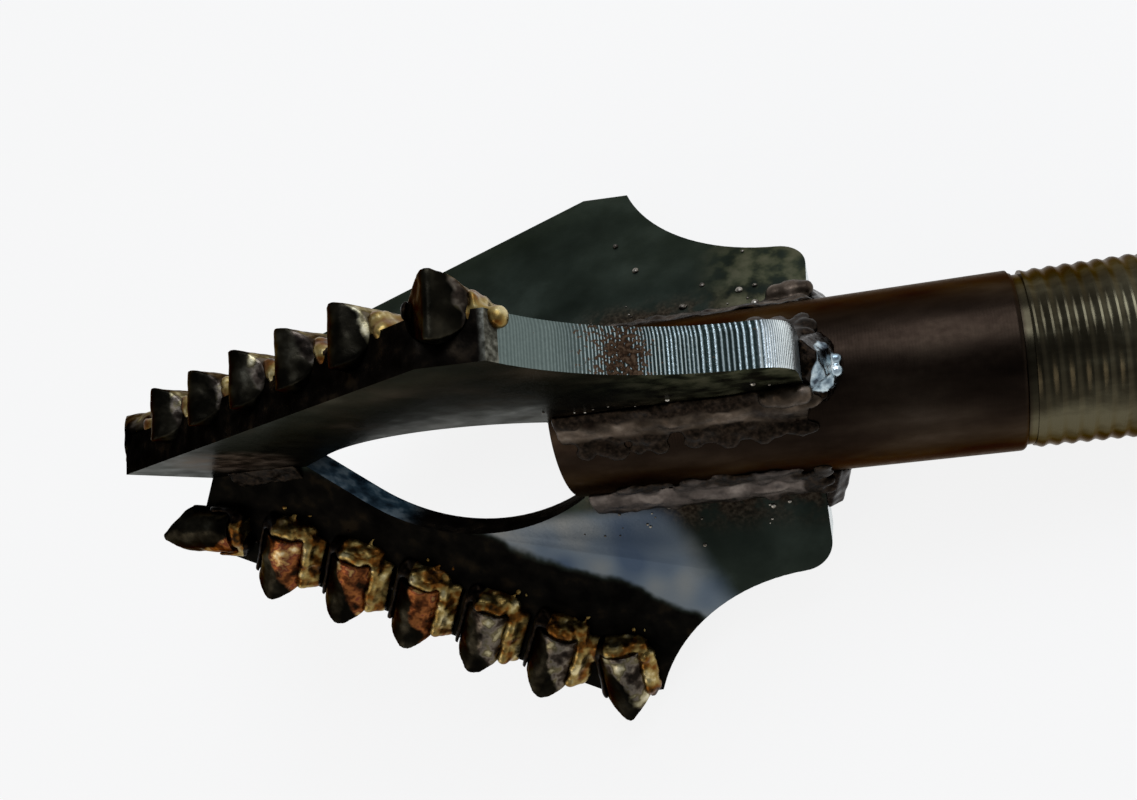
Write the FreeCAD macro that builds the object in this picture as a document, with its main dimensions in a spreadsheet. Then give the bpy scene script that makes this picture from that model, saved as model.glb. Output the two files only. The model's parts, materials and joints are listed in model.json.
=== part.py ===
"""Three-wing rock bit, in millimetres.

A tube shank with a threaded pin carries three flame-cut steel plates, the wings, at 120 degrees.
Each wing has a stepped row of carbide inserts brazed into half-round grooves on its leading face.
The pin is drawn to the crests of its thread, without the turns.
The bit lies as it comes to rest: on the gauge corners of the two lower wings and the rim of the pin.

Every piece is drawn along the bit's own axis, which is X here: zero is the shoulder behind the thread,
plus is towards the nose. A wing stands up along Z, and its leading face is on the minus Y side.
"""
import FreeCAD, Part
import math
import os

import Sketcher
from FreeCAD import Placement, Rotation, Vector

os.makedirs("parts", exist_ok=True)
doc = FreeCAD.newDocument("rock_bit")

# Sizes that can be set by themselves, in millimetres and degrees
SIZES = (
    ("shank_diameter", 50.0, "outside of the tube"),
    ("bore_diameter", 22.0, "water bore"),
    ("shank_length", 130.0, "shoulder to the mouth between the wings"),
    ("shoulder_chamfer", 1.5, "edge of the shoulder"),
    ("pin_length", 46.0, "shoulder to the rear end"),
    ("pin_diameter", 49.0, "crests of the thread"),
    ("relief_length", 2.2, "turned groove at the shoulder, down to the foot of its chamfer"),
    ("lead_length", 3.0, "chamfer at the rear end"),
    ("lead_depth", 1.9, "the same, across the axis"),
    ("plate_thickness", 12.0, "each wing"),
    ("seat_length", 74.0, "a wing's root on the tube, back from the mouth"),
    ("heel_radius", 56.5, "height of a wing's heel above the axis"),
    ("heel_corner", 10.0, "rounding of the heel"),
    ("sweep_radius", 64.0, "hollow curve from the heel to the gauge"),
    ("gauge_setback", 12.0, "rear edge of the gauge land, back from the mouth"),
    ("gauge_lead", 4.5, "front edge of the gauge land, ahead of the mouth"),
    ("wing_radius", 98.5, "front edge of the gauge land above the axis"),
    ("gauge_relief", 1.2, "fall of the land towards the rear"),
    ("slope_angle", 27.5, "cutting edge to the axis"),
    ("nose_hollow", 17.5, "nose corner to the root of the hollow nose"),
    ("arch_radius", 64.0, "water arch"),
    ("arch_height", 34.0, "top of the water arch above the axis"),
    ("arch_exit", 41.0, "straight end of the water arch to the axis"),
    ("tooth_diameter", 16.0, "insert"),
    ("tooth_length", 24.0, "insert, crest to base"),
    ("tooth_wedge", 45.0, "each flank of the wedge to the insert's axis"),
    ("tooth_crest", 2.0, "rounding of the crest"),
    ("worn_crest", 4.6, "the same on the inserts of the slope, which wear first"),
    ("tooth_standoff", 1.0, "insert's axis above the leading face"),
    ("tooth_reach", 5.6, "crest above the cutting edge"),
    ("tooth_pitch", 24.6, "along the cutting edge"),
    ("tooth_first", 24.7, "gauge corner to the first insert on the slope"),
    ("tooth_last", 33.1, "last insert on the slope to the nose corner"),
    ("gauge_tooth_setback", 5.5, "gauge insert, back from the gauge corner"),
    ("gauge_tooth_reach", 4.6, "its crest above the gauge corner"),
    ("nose_tooth_drop", 6.9, "crest of the nose insert below the nose corner"),
    ("nose_tooth_reach", 5.0, "its crest ahead of the nose corner"),
    ("nose_tooth_tilt", 8.0, "its lean towards the axis"),
    ("braze_gap", 0.1, "film of braze in a groove"),
    ("braze_side", 1.3, "pool beside an insert"),
    ("braze_end", 2.5, "pool behind an insert's base"),
    ("braze_height", 4.5, "pool above the leading face"),
    ("nose_braze_length", 8.0, "pool beside the nose insert, from its base"),
    ("braze_chamfer", 1.0, "edge of a pool"),
    ("root_leg", 7.0, "fillet weld along a wing's root"),
    ("root_face_radius", 15.5, "its crowned face"),
    ("root_front_gap", 3.0, "from its end to the mouth"),
    ("heel_weld_height", 12.0, "weld up the rear end of a wing"),
    ("heel_weld_length", 10.0, "weld along the shank behind a wing"),
    ("heel_weld_width", 22.0, "the same weld across the shank"),
    ("heel_weld_top_length", 4.5, "its top, back from the wing"),
    ("heel_weld_top_width", 9.7, "its top, across the wing"),
    ("heel_weld_corner", 3.5, "its rear corners"),
    ("nose_leg", 4.5, "fillet weld between the plates"),
    ("nose_weld_gap", 2.5, "from its ends to the water arch and to the braze of the nose insert"),
)
SLOPE_TEETH = 5
WINGS = 3
WING_STEP = 360.0 / WINGS
RIGHT_ANGLE = 90.0
REST_ROUNDS = 40

sheet = doc.addObject("Spreadsheet::Sheet", "Sizes")
for row, (alias, value, meaning) in enumerate(SIZES, start=1):
    sheet.set(f"A{row}", alias)
    sheet.set(f"B{row}", str(value))
    sheet.set(f"C{row}", meaning)
    sheet.setAlias(f"B{row}", alias)
working = doc.addObject("Spreadsheet::Sheet", "Working")
doc.recompute()

# Lengths that several pieces share, written once for the sketches
SHANK_RADIUS = "Sizes.shank_diameter / 2"
HALF_PLATE = "Sizes.plate_thickness / 2"
HEEL = "Sizes.shank_length - Sizes.seat_length"
GAUGE_FRONT = "Sizes.shank_length + Sizes.gauge_lead"
SLOPE_RUN = f"(Sizes.tooth_first + {SLOPE_TEETH - 1} * Sizes.tooth_pitch + Sizes.tooth_last)"
NOSE_CORNER_X = f"{GAUGE_FRONT} + {SLOPE_RUN} * cos(Sizes.slope_angle)"
NOSE_CORNER_Z = f"Sizes.wing_radius - {SLOPE_RUN} * sin(Sizes.slope_angle)"
NOSE_ROOT = f"{NOSE_CORNER_X} - Sizes.nose_hollow"
ARCH_CENTRE = (
    "Sizes.shank_length + sqrt(Sizes.arch_radius ^ 2"
    " - (Sizes.shank_diameter / 2 - Sizes.arch_height + Sizes.arch_radius) ^ 2)"
)
ARCH_TURN_X = f"{ARCH_CENTRE} + Sizes.arch_radius * sin(Sizes.arch_exit)"
ARCH_TURN_Z = "Sizes.arch_height - Sizes.arch_radius * (1 - cos(Sizes.arch_exit))"
ARCH_END = f"{ARCH_TURN_X} + ({ARCH_TURN_Z}) / tan(Sizes.arch_exit)"

# What is coped to the tube starts inside it, and a cut runs past the piece that it cuts
SEAT_DEPTH = "Sizes.shank_diameter * 0.4"
PAST_PLATE = "Sizes.plate_thickness * 0.6"
PAST_BLANK = "Sizes.tooth_diameter * 0.6"
PAST_INSERT = "Sizes.tooth_length * 1.5"


def size(alias):
    """One driving size, read from the sheet."""
    return float(getattr(sheet, alias))


def worth(text):
    """The value of an expression, worked out in a cell that nothing else reads."""
    working.set("A1", "=" + text)
    working.recompute()
    return float(working.get("A1"))


def origin_plane(body, role):
    """One of a body's own origin planes."""
    return next(item for item in body.Origin.OriginFeatures if item.Role == role)


def new_body(name):
    """A sub-part, labelled with the name of its file."""
    body = doc.addObject("PartDesign::Body", name)
    body.Label = name
    return body


def new_sketch(body, name, role, lift=None):
    """A sketch on one of the body's origin planes, lifted off it by an expression if asked."""
    sketch = body.newObject("Sketcher::SketchObject", name)
    sketch.AttachmentSupport = [(origin_plane(body, role), "")]
    sketch.MapMode = "FlatFace"
    if lift:
        sketch.setExpression("AttachmentOffset.Base.z", lift)
    return sketch


def bind(sketch, kind, where, text):
    """A dimension of a sketch that follows the sheet."""
    index = sketch.addConstraint(Sketcher.Constraint(kind, *where, worth(text)))
    sketch.setExpression(f"Constraints[{index}]", text)


def arc_between(start, end, radius, left):
    """An arc of a given radius from start to end, bulging to the left of that way or to the right."""
    chord = end - start
    depth = math.sqrt(radius ** 2 - (chord.Length / 2) ** 2)
    towards_centre = Vector(chord.y, -chord.x, 0).normalize() * (depth if left else -depth)
    centre = (start + end) / 2 + towards_centre
    first, last = (end, start) if left else (start, end)
    angles = [math.atan2(point.y - centre.y, point.x - centre.x) for point in (first, last)]
    return Part.ArcOfCircle(Part.Circle(centre, Vector(0, 0, 1), radius), *angles)


def closed_outline(sketch, corners, arcs=None):
    """A closed outline through the corners, each a pair of expressions.

    Edge n runs from corner n to the next. An edge in arcs is an arc, given as the expression of its
    radius and whether it bulges to the left of the way that the outline runs.
    """
    arcs = arcs or {}
    points = [Vector(worth(across), worth(up), 0) for across, up in corners]
    count = len(points)
    ends = []
    for edge, start in enumerate(points):
        end = points[(edge + 1) % count]
        if edge in arcs:
            radius_text, left = arcs[edge]
            sketch.addGeometry(arc_between(start, end, worth(radius_text), left), False)
            ends.append((2, 1) if left else (1, 2))
        else:
            sketch.addGeometry(Part.LineSegment(start, end), False)
            ends.append((1, 2))
    for edge in range(count):
        after = (edge + 1) % count
        sketch.addConstraint(Sketcher.Constraint("Coincident", edge, ends[edge][1], after, ends[after][0]))
    for edge, (across, up) in enumerate(corners):
        bind(sketch, "DistanceX", (-1, 1, edge, ends[edge][0]), across)
        bind(sketch, "DistanceY", (-1, 1, edge, ends[edge][0]), up)
    for edge, (radius_text, _) in arcs.items():
        bind(sketch, "Radius", (edge,), radius_text)


def circle(sketch, radius_text):
    """A circle about the sketch's origin."""
    sketch.addGeometry(Part.Circle(Vector(0, 0, 0), Vector(0, 0, 1), worth(radius_text)), False)
    sketch.addConstraint(Sketcher.Constraint("Coincident", 0, 3, -1, 1))
    bind(sketch, "Radius", (0,), radius_text)


def pad(body, sketch, name, length, midplane=False):
    """A pad whose length is an expression."""
    feature = body.newObject("PartDesign::Pad", name)
    feature.Profile = sketch
    feature.Midplane = midplane
    feature.setExpression("Length", length)
    doc.recompute()
    return feature


def checked_cut(body, feature, before):
    """A cut that points away from the solid removes nothing and shows no error, so this compares."""
    doc.recompute()
    if body.Shape.Volume > before - 1e-3:
        raise RuntimeError(f"{body.Label}: {feature.Label} cuts nothing")


def pocket_through(body, sketch, name, midplane=False):
    """A pocket through all, along plus X from the YZ plane or both ways from another plane."""
    before = body.Shape.Volume
    feature = body.newObject("PartDesign::Pocket", name)
    feature.Profile = sketch
    feature.Type = "ThroughAll"
    feature.Midplane = midplane
    feature.Reversed = not midplane
    checked_cut(body, feature, before)
    return feature


def edges_at(shape, point, reach=0.5):
    """Names of the edges whose centre lies at a point."""
    return [
        f"Edge{index}"
        for index, edge in enumerate(shape.Edges, start=1)
        if edge.CenterOfMass.distanceToPoint(point) < reach
    ]


def dress(body, kind, name, edges, text):
    """A fillet or chamfer on named edges of the body's last feature."""
    feature = body.newObject(f"PartDesign::{kind}", name)
    feature.Base = (feature.BaseFeature, edges)
    feature.setExpression("Radius" if kind == "Fillet" else "Size", text)
    doc.recompute()
    return feature


def turned_shank():
    """The tube and its pin, revolved about the axis."""
    body = new_body("shank")
    profile = new_sketch(body, "shank_profile", "XZ_Plane")
    bore = "Sizes.bore_diameter / 2"
    pin = "Sizes.pin_diameter / 2"
    relief = f"{SHANK_RADIUS} - Sizes.shoulder_chamfer"
    closed_outline(profile, [
        ("-Sizes.pin_length", bore),
        ("-Sizes.pin_length", f"{pin} - Sizes.lead_depth"),
        ("Sizes.lead_length - Sizes.pin_length", pin),
        ("-Sizes.relief_length", pin),
        ("-Sizes.relief_length", relief),
        ("0", relief),
        ("Sizes.shoulder_chamfer", SHANK_RADIUS),
        ("Sizes.shank_length", SHANK_RADIUS),
        ("Sizes.shank_length", bore),
    ])
    turned = body.newObject("PartDesign::Revolution", "shank_turned")
    turned.Profile = profile
    turned.ReferenceAxis = (profile, ["H_Axis"])
    turned.Angle = 360.0
    doc.recompute()
    return body


def tooth_places():
    """Crest point along the axis and above it, and the lean of the insert's axis from Z towards the nose.

    The first is the nose insert, then those on the slope from the nose back, and last the gauge insert.
    """
    slope = math.radians(size("slope_angle"))
    reach = size("tooth_reach")
    gauge_front = worth(GAUGE_FRONT)
    places = [(
        worth(NOSE_CORNER_X) + size("nose_tooth_reach"),
        worth(NOSE_CORNER_Z) - size("nose_tooth_drop"),
        RIGHT_ANGLE + size("nose_tooth_tilt"),
    )]
    for step in reversed(range(SLOPE_TEETH)):
        run = size("tooth_first") + step * size("tooth_pitch")
        along = gauge_front + run * math.cos(slope) + reach * math.sin(slope)
        above = size("wing_radius") - run * math.sin(slope) + reach * math.cos(slope)
        places.append((along, above, size("slope_angle")))
    places.append((
        gauge_front - size("gauge_tooth_setback"),
        size("wing_radius") + size("gauge_tooth_reach"),
        0.0,
    ))
    return places


def tooth_placement(place):
    """Where an insert's own frame goes: Z out along its axis, zero at its base, crest along Y."""
    along, above, lean = place
    turn = Rotation(Vector(0, 1, 0), lean)
    crest = Vector(along, -size("plate_thickness") / 2 - size("tooth_standoff"), above)
    return Placement(crest - turn.multVec(Vector(0, 0, size("tooth_length"))), turn)


def groove(body, name, place):
    """A half-round groove for one insert, open past the plate's edge."""
    before = body.Shape.Volume
    cut = body.newObject("PartDesign::SubtractiveCylinder", name)
    cut.setExpression("Radius", "Sizes.tooth_diameter / 2 + Sizes.braze_gap")
    cut.setExpression("Height", PAST_INSERT)
    cut.Placement = tooth_placement(place) * Placement(Vector(0, 0, -size("braze_gap")), Rotation())
    checked_cut(body, cut, before)
    return cut


def cut_wing(number):
    """One plate: outline, seat on the tube, mitre at the axis and the grooves of its inserts."""
    body = new_body(f"wing_{number}")
    outline = new_sketch(body, "wing_outline", "XZ_Plane")
    closed_outline(
        outline,
        [
            (HEEL, SEAT_DEPTH),
            (HEEL, "Sizes.heel_radius"),
            ("Sizes.shank_length - Sizes.gauge_setback", "Sizes.wing_radius - Sizes.gauge_relief"),
            (GAUGE_FRONT, "Sizes.wing_radius"),
            (NOSE_CORNER_X, NOSE_CORNER_Z),
            (NOSE_ROOT, "0"),
            (ARCH_END, "0"),
            (ARCH_TURN_X, ARCH_TURN_Z),
            ("Sizes.shank_length", SHANK_RADIUS),
            ("Sizes.shank_length", SEAT_DEPTH),
        ],
        {1: ("Sizes.sweep_radius", False), 7: ("Sizes.arch_radius", False)},
    )
    pad(body, outline, "plate", "Sizes.plate_thickness", midplane=True)
    heel = Vector(worth(HEEL), 0, size("heel_radius"))
    dress(body, "Fillet", "heel_round", edges_at(body.Shape, heel), "Sizes.heel_corner")

    seat = new_sketch(body, "tube_seat", "YZ_Plane")
    circle(seat, SHANK_RADIUS)
    before = body.Shape.Volume
    coped = body.newObject("PartDesign::Pocket", "coped_edge")
    coped.Profile = seat
    coped.Reversed = True
    coped.setExpression("Length", "Sizes.shank_length")
    checked_cut(body, coped, before)

    mitre = new_sketch(body, "mitre", "YZ_Plane")
    high = f"{PAST_PLATE} / tan(60)"
    closed_outline(mitre, [
        (f"-{PAST_PLATE}", high),
        ("0", "0"),
        (PAST_PLATE, high),
        (PAST_PLATE, f"-{PAST_PLATE}"),
        (f"-{PAST_PLATE}", f"-{PAST_PLATE}"),
    ])
    pocket_through(body, mitre, "mitred_edge")

    places = tooth_places()
    groove(body, "nose_groove", places[0])
    groove(body, "gauge_groove", places[-1])
    for step, place in enumerate(places[1:-1], start=2):
        groove(body, f"groove_{step}", place)
    return body


def ground_tooth(name, crest):
    """One carbide insert: a cylinder ground to a wedge, its crest rounded to a radius along Y."""
    body = new_body(name)
    section = new_sketch(body, "section", "XY_Plane")
    circle(section, "Sizes.tooth_diameter / 2")
    pad(body, section, "blank", "Sizes.tooth_length")

    wedge = new_sketch(body, "wedge", "XZ_Plane")
    crest_end = f"{crest} * cos(Sizes.tooth_wedge)"
    crest_foot = f"Sizes.tooth_length - {crest} * (1 - sin(Sizes.tooth_wedge))"
    low = f"{crest_foot} - ({PAST_BLANK} - {crest_end}) / tan(Sizes.tooth_wedge)"
    closed_outline(
        wedge,
        [
            (f"-{PAST_BLANK}", low),
            (f"-{crest_end}", crest_foot),
            (crest_end, crest_foot),
            (PAST_BLANK, low),
            (PAST_BLANK, PAST_INSERT),
            (f"-{PAST_BLANK}", PAST_INSERT),
        ],
        {1: (crest, True)},
    )
    pocket_through(body, wedge, "flanks", midplane=True)
    return body


def braze_pool(name, length_text):
    """The braze round one insert, in the insert's own frame: a rounded block with the insert's bed in it."""
    body = new_body(name)
    outline = new_sketch(body, "pool_outline", "XZ_Plane", "-Sizes.tooth_standoff")
    wide = "Sizes.tooth_diameter / 2 + Sizes.braze_side"
    closed_outline(outline, [
        (f"-({wide})", "-Sizes.braze_end"),
        (wide, "-Sizes.braze_end"),
        (wide, length_text),
        (f"-({wide})", length_text),
    ])
    pad(body, outline, "pool", "Sizes.braze_height")
    top = size("tooth_standoff") - size("braze_height")
    rim = [
        f"Edge{index}"
        for index, edge in enumerate(body.Shape.Edges, start=1)
        if abs(edge.CenterOfMass.y - top) < 1e-6 and edge.CenterOfMass.z < worth(length_text) - 1e-6
    ]
    dress(body, "Chamfer", "pool_edge", rim, "Sizes.braze_chamfer")
    before = body.Shape.Volume
    bed = body.newObject("PartDesign::SubtractiveCylinder", "bed")
    bed.setExpression("Radius", "Sizes.tooth_diameter / 2")
    bed.setExpression("Height", PAST_INSERT)
    checked_cut(body, bed, before)
    return body


def root_weld(name, side):
    """The fillet weld along one side of a wing's root, side being minus one for the leading side."""
    body = new_body(name)
    bead = new_sketch(body, "bead", "YZ_Plane", HEEL)
    on_tube = "sqrt((Sizes.shank_diameter / 2) ^ 2 - (Sizes.plate_thickness / 2) ^ 2)"
    toe = "Sizes.plate_thickness / 2 + Sizes.root_leg"
    toe_on_tube = f"sqrt((Sizes.shank_diameter / 2) ^ 2 - ({toe}) ^ 2)"
    closed_outline(
        bead,
        [
            (f"{side} * {HALF_PLATE}", toe_on_tube),
            (f"{side} * {HALF_PLATE}", f"{on_tube} + Sizes.root_leg"),
            (f"{side} * ({toe})", toe_on_tube),
        ],
        {1: ("Sizes.root_face_radius", side > 0)},
    )
    pad(body, bead, "run", "Sizes.seat_length - Sizes.root_front_gap")
    tube = new_sketch(body, "tube", "YZ_Plane")
    circle(tube, SHANK_RADIUS)
    pocket_through(body, tube, "foot")
    return body


def heel_weld(name):
    """The lump of weld that closes the rear end of a wing: a wedge up that end, on the shank."""
    body = new_body(name)
    lump = body.newObject("PartDesign::AdditiveWedge", "lump")
    for corner, text in (
        ("Xmin", "-Sizes.heel_weld_length"),
        ("X2min", "-Sizes.heel_weld_top_length"),
        ("X2max", "0"),
        ("Xmax", "0"),
        ("Ymin", SEAT_DEPTH),
        ("Ymax", f"{SHANK_RADIUS} + Sizes.heel_weld_height"),
        ("Zmin", "-Sizes.heel_weld_width / 2"),
        ("Zmax", "Sizes.heel_weld_width / 2"),
        ("Z2min", "-Sizes.heel_weld_top_width / 2"),
        ("Z2max", "Sizes.heel_weld_top_width / 2"),
    ):
        lump.setExpression(corner, text)
    lump.Placement = Placement(Vector(worth(HEEL), 0, 0), Rotation(Vector(1, 0, 0), RIGHT_ANGLE))
    doc.recompute()
    rear_corners = [
        f"Edge{index}"
        for index, edge in enumerate(body.Shape.Edges, start=1)
        if edge.BoundBox.ZLength > size("heel_weld_height") and edge.BoundBox.XMax < worth(HEEL) - 1e-6
    ]
    dress(body, "Chamfer", "rear_corners", rear_corners, "Sizes.heel_weld_corner")
    tube = new_sketch(body, "tube", "YZ_Plane")
    circle(tube, SHANK_RADIUS)
    pocket_through(body, tube, "foot")
    return body


def nose_weld(name):
    """The fillet weld in the corner between two plates ahead of the water arch, the corner along Z."""
    body = new_body(name)
    corner = f"{HALF_PLATE} / sin(60)"
    face_height = f"{HALF_PLATE} / tan(60)"
    start = f"{ARCH_END} - {face_height} / tan(Sizes.arch_exit) + Sizes.nose_weld_gap"
    nose_insert_base = f"{NOSE_CORNER_X} + Sizes.nose_tooth_reach - Sizes.tooth_length"
    end = f"{nose_insert_base} - Sizes.braze_end - Sizes.nose_weld_gap"
    bead = new_sketch(body, "bead", "YZ_Plane", start)
    toe_up = f"{corner} + Sizes.nose_leg * cos(60)"
    closed_outline(bead, [
        ("0", corner),
        ("Sizes.nose_leg * sin(60)", toe_up),
        ("-Sizes.nose_leg * sin(60)", toe_up),
    ])
    pad(body, bead, "run", f"{end} - ({start})")
    return body


def about_axis(degrees):
    """A turn about the bit's axis."""
    return Placement(Vector(0, 0, 0), Rotation(Vector(1, 0, 0), degrees))


def lowest(points, down):
    """The point that lies furthest that way."""
    return max(points, key=lambda point: point.dot(down))


def resting_down():
    """The direction of down, in the bit's frame, once it lies on two gauge corners and the pin."""
    half = size("plate_thickness") / 2
    crest_middle = -half - size("tooth_standoff")
    crest_half = size("tooth_diameter") / 2
    along, above, _ = tooth_places()[-1]
    corners = [Vector(along, crest_middle + end, above) for end in (-crest_half, crest_half)]
    gauge_front = worth(GAUGE_FRONT)
    gauge_rear = size("shank_length") - size("gauge_setback")
    for face in (-half, half):
        corners.append(Vector(gauge_front, face, size("wing_radius")))
        corners.append(Vector(gauge_rear, face, size("wing_radius") - size("gauge_relief")))
    rim_middle = Vector(size("lead_length") - size("pin_length"), 0, 0)
    rim_radius = size("pin_diameter") / 2
    down = Vector(0, 0, -1)
    for _ in range(REST_ROUNDS):
        left, right = (
            lowest([about_axis(turn).multVec(corner) for corner in corners], down)
            for turn in (WING_STEP, -WING_STEP)
        )
        outward = Vector(0, down.y, down.z).normalize()
        rear = rim_middle + outward * rim_radius
        down = (left - rear).cross(right - rear).normalize()
        if down.z > 0:
            down = down * -1
    return down


def rest_turn():
    """The turn that lays the bit down, with its nose towards minus X."""
    up = resting_down() * -1
    rearward = Vector(-1, 0, 0)
    rearward = (rearward - up * rearward.dot(up)).normalize()
    across = up.cross(rearward)
    return Rotation(FreeCAD.Matrix(
        rearward.x, rearward.y, rearward.z, 0,
        across.x, across.y, across.z, 0,
        up.x, up.y, up.z, 0,
        0, 0, 0, 1,
    ))


# Every piece with its place along the bit's own axis
pieces = [(turned_shank(), Placement())]
pools = {}
places = tooth_places()
edge_length = "Sizes.tooth_length - Sizes.tooth_reach"
gauge_length = "Sizes.tooth_length - Sizes.gauge_tooth_reach - Sizes.gauge_relief"
for wing in range(1, WINGS + 1):
    turn = about_axis((wing - 1) * WING_STEP)
    pieces.append((cut_wing(wing), turn))
    pieces.append((root_weld(f"root_weld_{wing}_lead", -1), turn))
    pieces.append((root_weld(f"root_weld_{wing}_trail", 1), turn))
    pieces.append((heel_weld(f"heel_weld_{wing}"), turn))
    pieces.append((nose_weld(f"nose_weld_{wing}"), about_axis((wing - 0.5) * WING_STEP)))
    pools[wing] = []
    for number, place in enumerate(places, start=1):
        seat = turn * tooth_placement(place)
        at_an_end = number in (1, len(places))
        crest = "Sizes.tooth_crest" if at_an_end else "Sizes.worn_crest"
        pieces.append((ground_tooth(f"tooth_{wing}_{number}", crest), seat))
        length = {1: "Sizes.nose_braze_length", len(places): gauge_length}.get(number, edge_length)
        pool = braze_pool(f"pool_{wing}_{number}", length)
        pools[wing].append((pool, seat))

nodes = [body for body, _ in pieces]
for wing, wing_pools in pools.items():
    group = doc.addObject("Part::Compound", f"braze_{wing}")
    group.Label = f"braze_{wing}"
    group.Links = [pool for pool, _ in wing_pools]
    nodes.append(group)


def lay(shift):
    """Place every piece as the bit rests, moved by a shift."""
    laid = Placement(shift, rest_turn())
    for body, place in pieces + [item for group in pools.values() for item in group]:
        body.Placement = laid * place
    doc.recompute()


lay(Vector(0, 0, 0))
box = Part.makeCompound([node.Shape for node in nodes]).optimalBoundingBox(False)
lay(Vector(-(box.XMin + box.XMax) / 2, -(box.YMin + box.YMax) / 2, -box.ZMin))

doc.removeObject(working.Name)

# Nothing is written unless every feature and every sub-part is sound
for item in doc.Objects:
    if "Invalid" in item.State or "Error" in item.State:
        raise RuntimeError(f"{item.Label} failed: {item.State}")
for node in nodes:
    if node.Shape.isNull() or not node.Shape.isValid():
        raise RuntimeError(f"{node.Label} has no sound shape")
for node in nodes:
    node.Shape.exportStep(f"parts/{node.Label}.step")
print(len(nodes), "pieces")
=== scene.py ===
# %% [markdown]
# # Three-wing rock bit
# This drag bit drills wells in soft rock. A tube shank screws on to the drill rods, and three flame-cut
# steel wings are welded to it. Along the leading face of each wing runs a stepped row of carbide inserts,
# brazed in with brass. The measured solids come from the part's CAD frame. This lesson dresses them: it
# turns the thread, scores the plates' edges, pours the braze and the welds, and gives each metal the
# finish that its making left on it, with some light and shade painted into the colours as well.

import json
import math
import random
from functools import partial

import bmesh
import bpy
from mathutils import Matrix, Vector


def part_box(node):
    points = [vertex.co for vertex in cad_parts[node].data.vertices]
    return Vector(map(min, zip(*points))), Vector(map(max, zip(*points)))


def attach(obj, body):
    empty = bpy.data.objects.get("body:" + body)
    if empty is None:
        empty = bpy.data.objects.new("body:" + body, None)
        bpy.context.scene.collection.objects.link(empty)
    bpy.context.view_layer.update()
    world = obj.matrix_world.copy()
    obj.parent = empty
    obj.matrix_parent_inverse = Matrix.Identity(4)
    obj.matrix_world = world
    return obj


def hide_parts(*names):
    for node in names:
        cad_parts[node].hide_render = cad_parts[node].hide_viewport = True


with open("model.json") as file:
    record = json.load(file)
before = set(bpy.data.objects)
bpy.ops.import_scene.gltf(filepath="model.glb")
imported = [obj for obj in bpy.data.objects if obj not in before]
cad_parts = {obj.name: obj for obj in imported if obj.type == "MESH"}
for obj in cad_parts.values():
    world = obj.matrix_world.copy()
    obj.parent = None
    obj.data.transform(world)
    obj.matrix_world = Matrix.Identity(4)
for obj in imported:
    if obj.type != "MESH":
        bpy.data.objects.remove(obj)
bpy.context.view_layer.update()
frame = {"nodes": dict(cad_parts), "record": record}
nodes = frame["nodes"]
MM = 0.001
print(len(nodes), "nodes in the frame")

# %% [markdown]
# ## Where the bit lies
# The bit rests on the floor at a slant, so it is easier to model along its own axis. The water bore gives
# that axis and the mouth, and the largest flat face of the first wing tells which way the wing stands.
# From these comes one matrix that carries points from the bit's own frame to the floor's: X runs from the
# shoulder to the nose, Z up along wing 1, and its leading face looks to minus Y.

# %% The bit's own frame
WINGS = 3
TEETH = 7
NOSE_TOOTH = 1
GAUGE_TOOTH = TEETH
mounts = {mount["name"]: mount for mount in frame["record"]["mounts"]}
bore = mounts["water_bore"]
pin = mounts["threaded_pin"]
nose_way = -Vector(bore["axis"]).normalized()
mouth = Vector(bore["pos_m"]) + nose_way * bore["dims"]["length_mm"] * MM / 2


def middle(name):
    """The middle of a CAD node's box."""
    low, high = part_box(name)
    return (low + high) / 2


def largest_face_normal(node):
    """The normal of the largest flat face of a CAD node."""
    return max(nodes[node].data.polygons, key=lambda face: face.area).normal.copy()


plate_normal = largest_face_normal("wing_1")
towards_teeth = middle("tooth_1_4") - middle("wing_1")
leading = plate_normal if plate_normal.dot(towards_teeth) > 0 else -plate_normal
leading = (leading - nose_way * leading.dot(nose_way)).normalized()
wing_up = leading.cross(nose_way)
axes = Matrix((nose_way, -leading, wing_up)).transposed().to_4x4()


def along_axis(vertex):
    """How far ahead of the mouth a point lies, and how far from the axis."""
    ahead = (vertex - mouth).dot(nose_way)
    return ahead, (vertex - mouth - nose_way * ahead).length


rings = [along_axis(vertex.co) for vertex in nodes["shank"].data.vertices]
SHANK_RADIUS = max(radius for ahead, radius in rings)
shoulder_ring = min(ahead for ahead, radius in rings if radius > SHANK_RADIUS - 0.01 * MM)
SHOULDER_CHAMFER = 1.5 * MM
SHANK_LENGTH = SHOULDER_CHAMFER - shoulder_ring
BIT = Matrix.Translation(mouth - nose_way * SHANK_LENGTH) @ axes


def wing_frame(number):
    """The frame of one wing: X along the axis, Z up the wing, leading face to minus Y."""
    return BIT @ Matrix.Rotation(math.radians(360 / WINGS * (number - 1)), 4, "X")


print("shank radius", round(SHANK_RADIUS / MM, 2), "mm")
print("shoulder to mouth", round(SHANK_LENGTH / MM, 2), "mm")

# %% Places that the finishes and the pieces share
HALF_PLATE = 6 * MM
SEAT_LENGTH = 74 * MM
NOSE_TILT = math.radians(8)
HEEL = SHANK_LENGTH - SEAT_LENGTH

to_wing_1 = wing_frame(1).inverted()
wing_points = [to_wing_1 @ vertex.co for vertex in nodes["wing_1"].data.vertices]
GAUGE_CORNER = max(wing_points, key=lambda point: point.z)
first_on_slope = to_wing_1 @ middle("tooth_1_2")
last_on_slope = to_wing_1 @ middle("tooth_1_6")
slope_run = first_on_slope - last_on_slope
SLOPE_ANGLE = math.atan2(-slope_run.z, slope_run.x)
GAUGE_SETBACK = SHANK_LENGTH - 12 * MM


def insert_axis(number):
    """Which way an insert's crest points, in its wing's frame."""
    angle = math.pi / 2 - SLOPE_ANGLE
    if number == NOSE_TOOTH:
        angle = -NOSE_TILT
    if number == GAUGE_TOOTH:
        angle = math.pi / 2
    return Vector((math.cos(angle), 0, math.sin(angle)))


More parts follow.
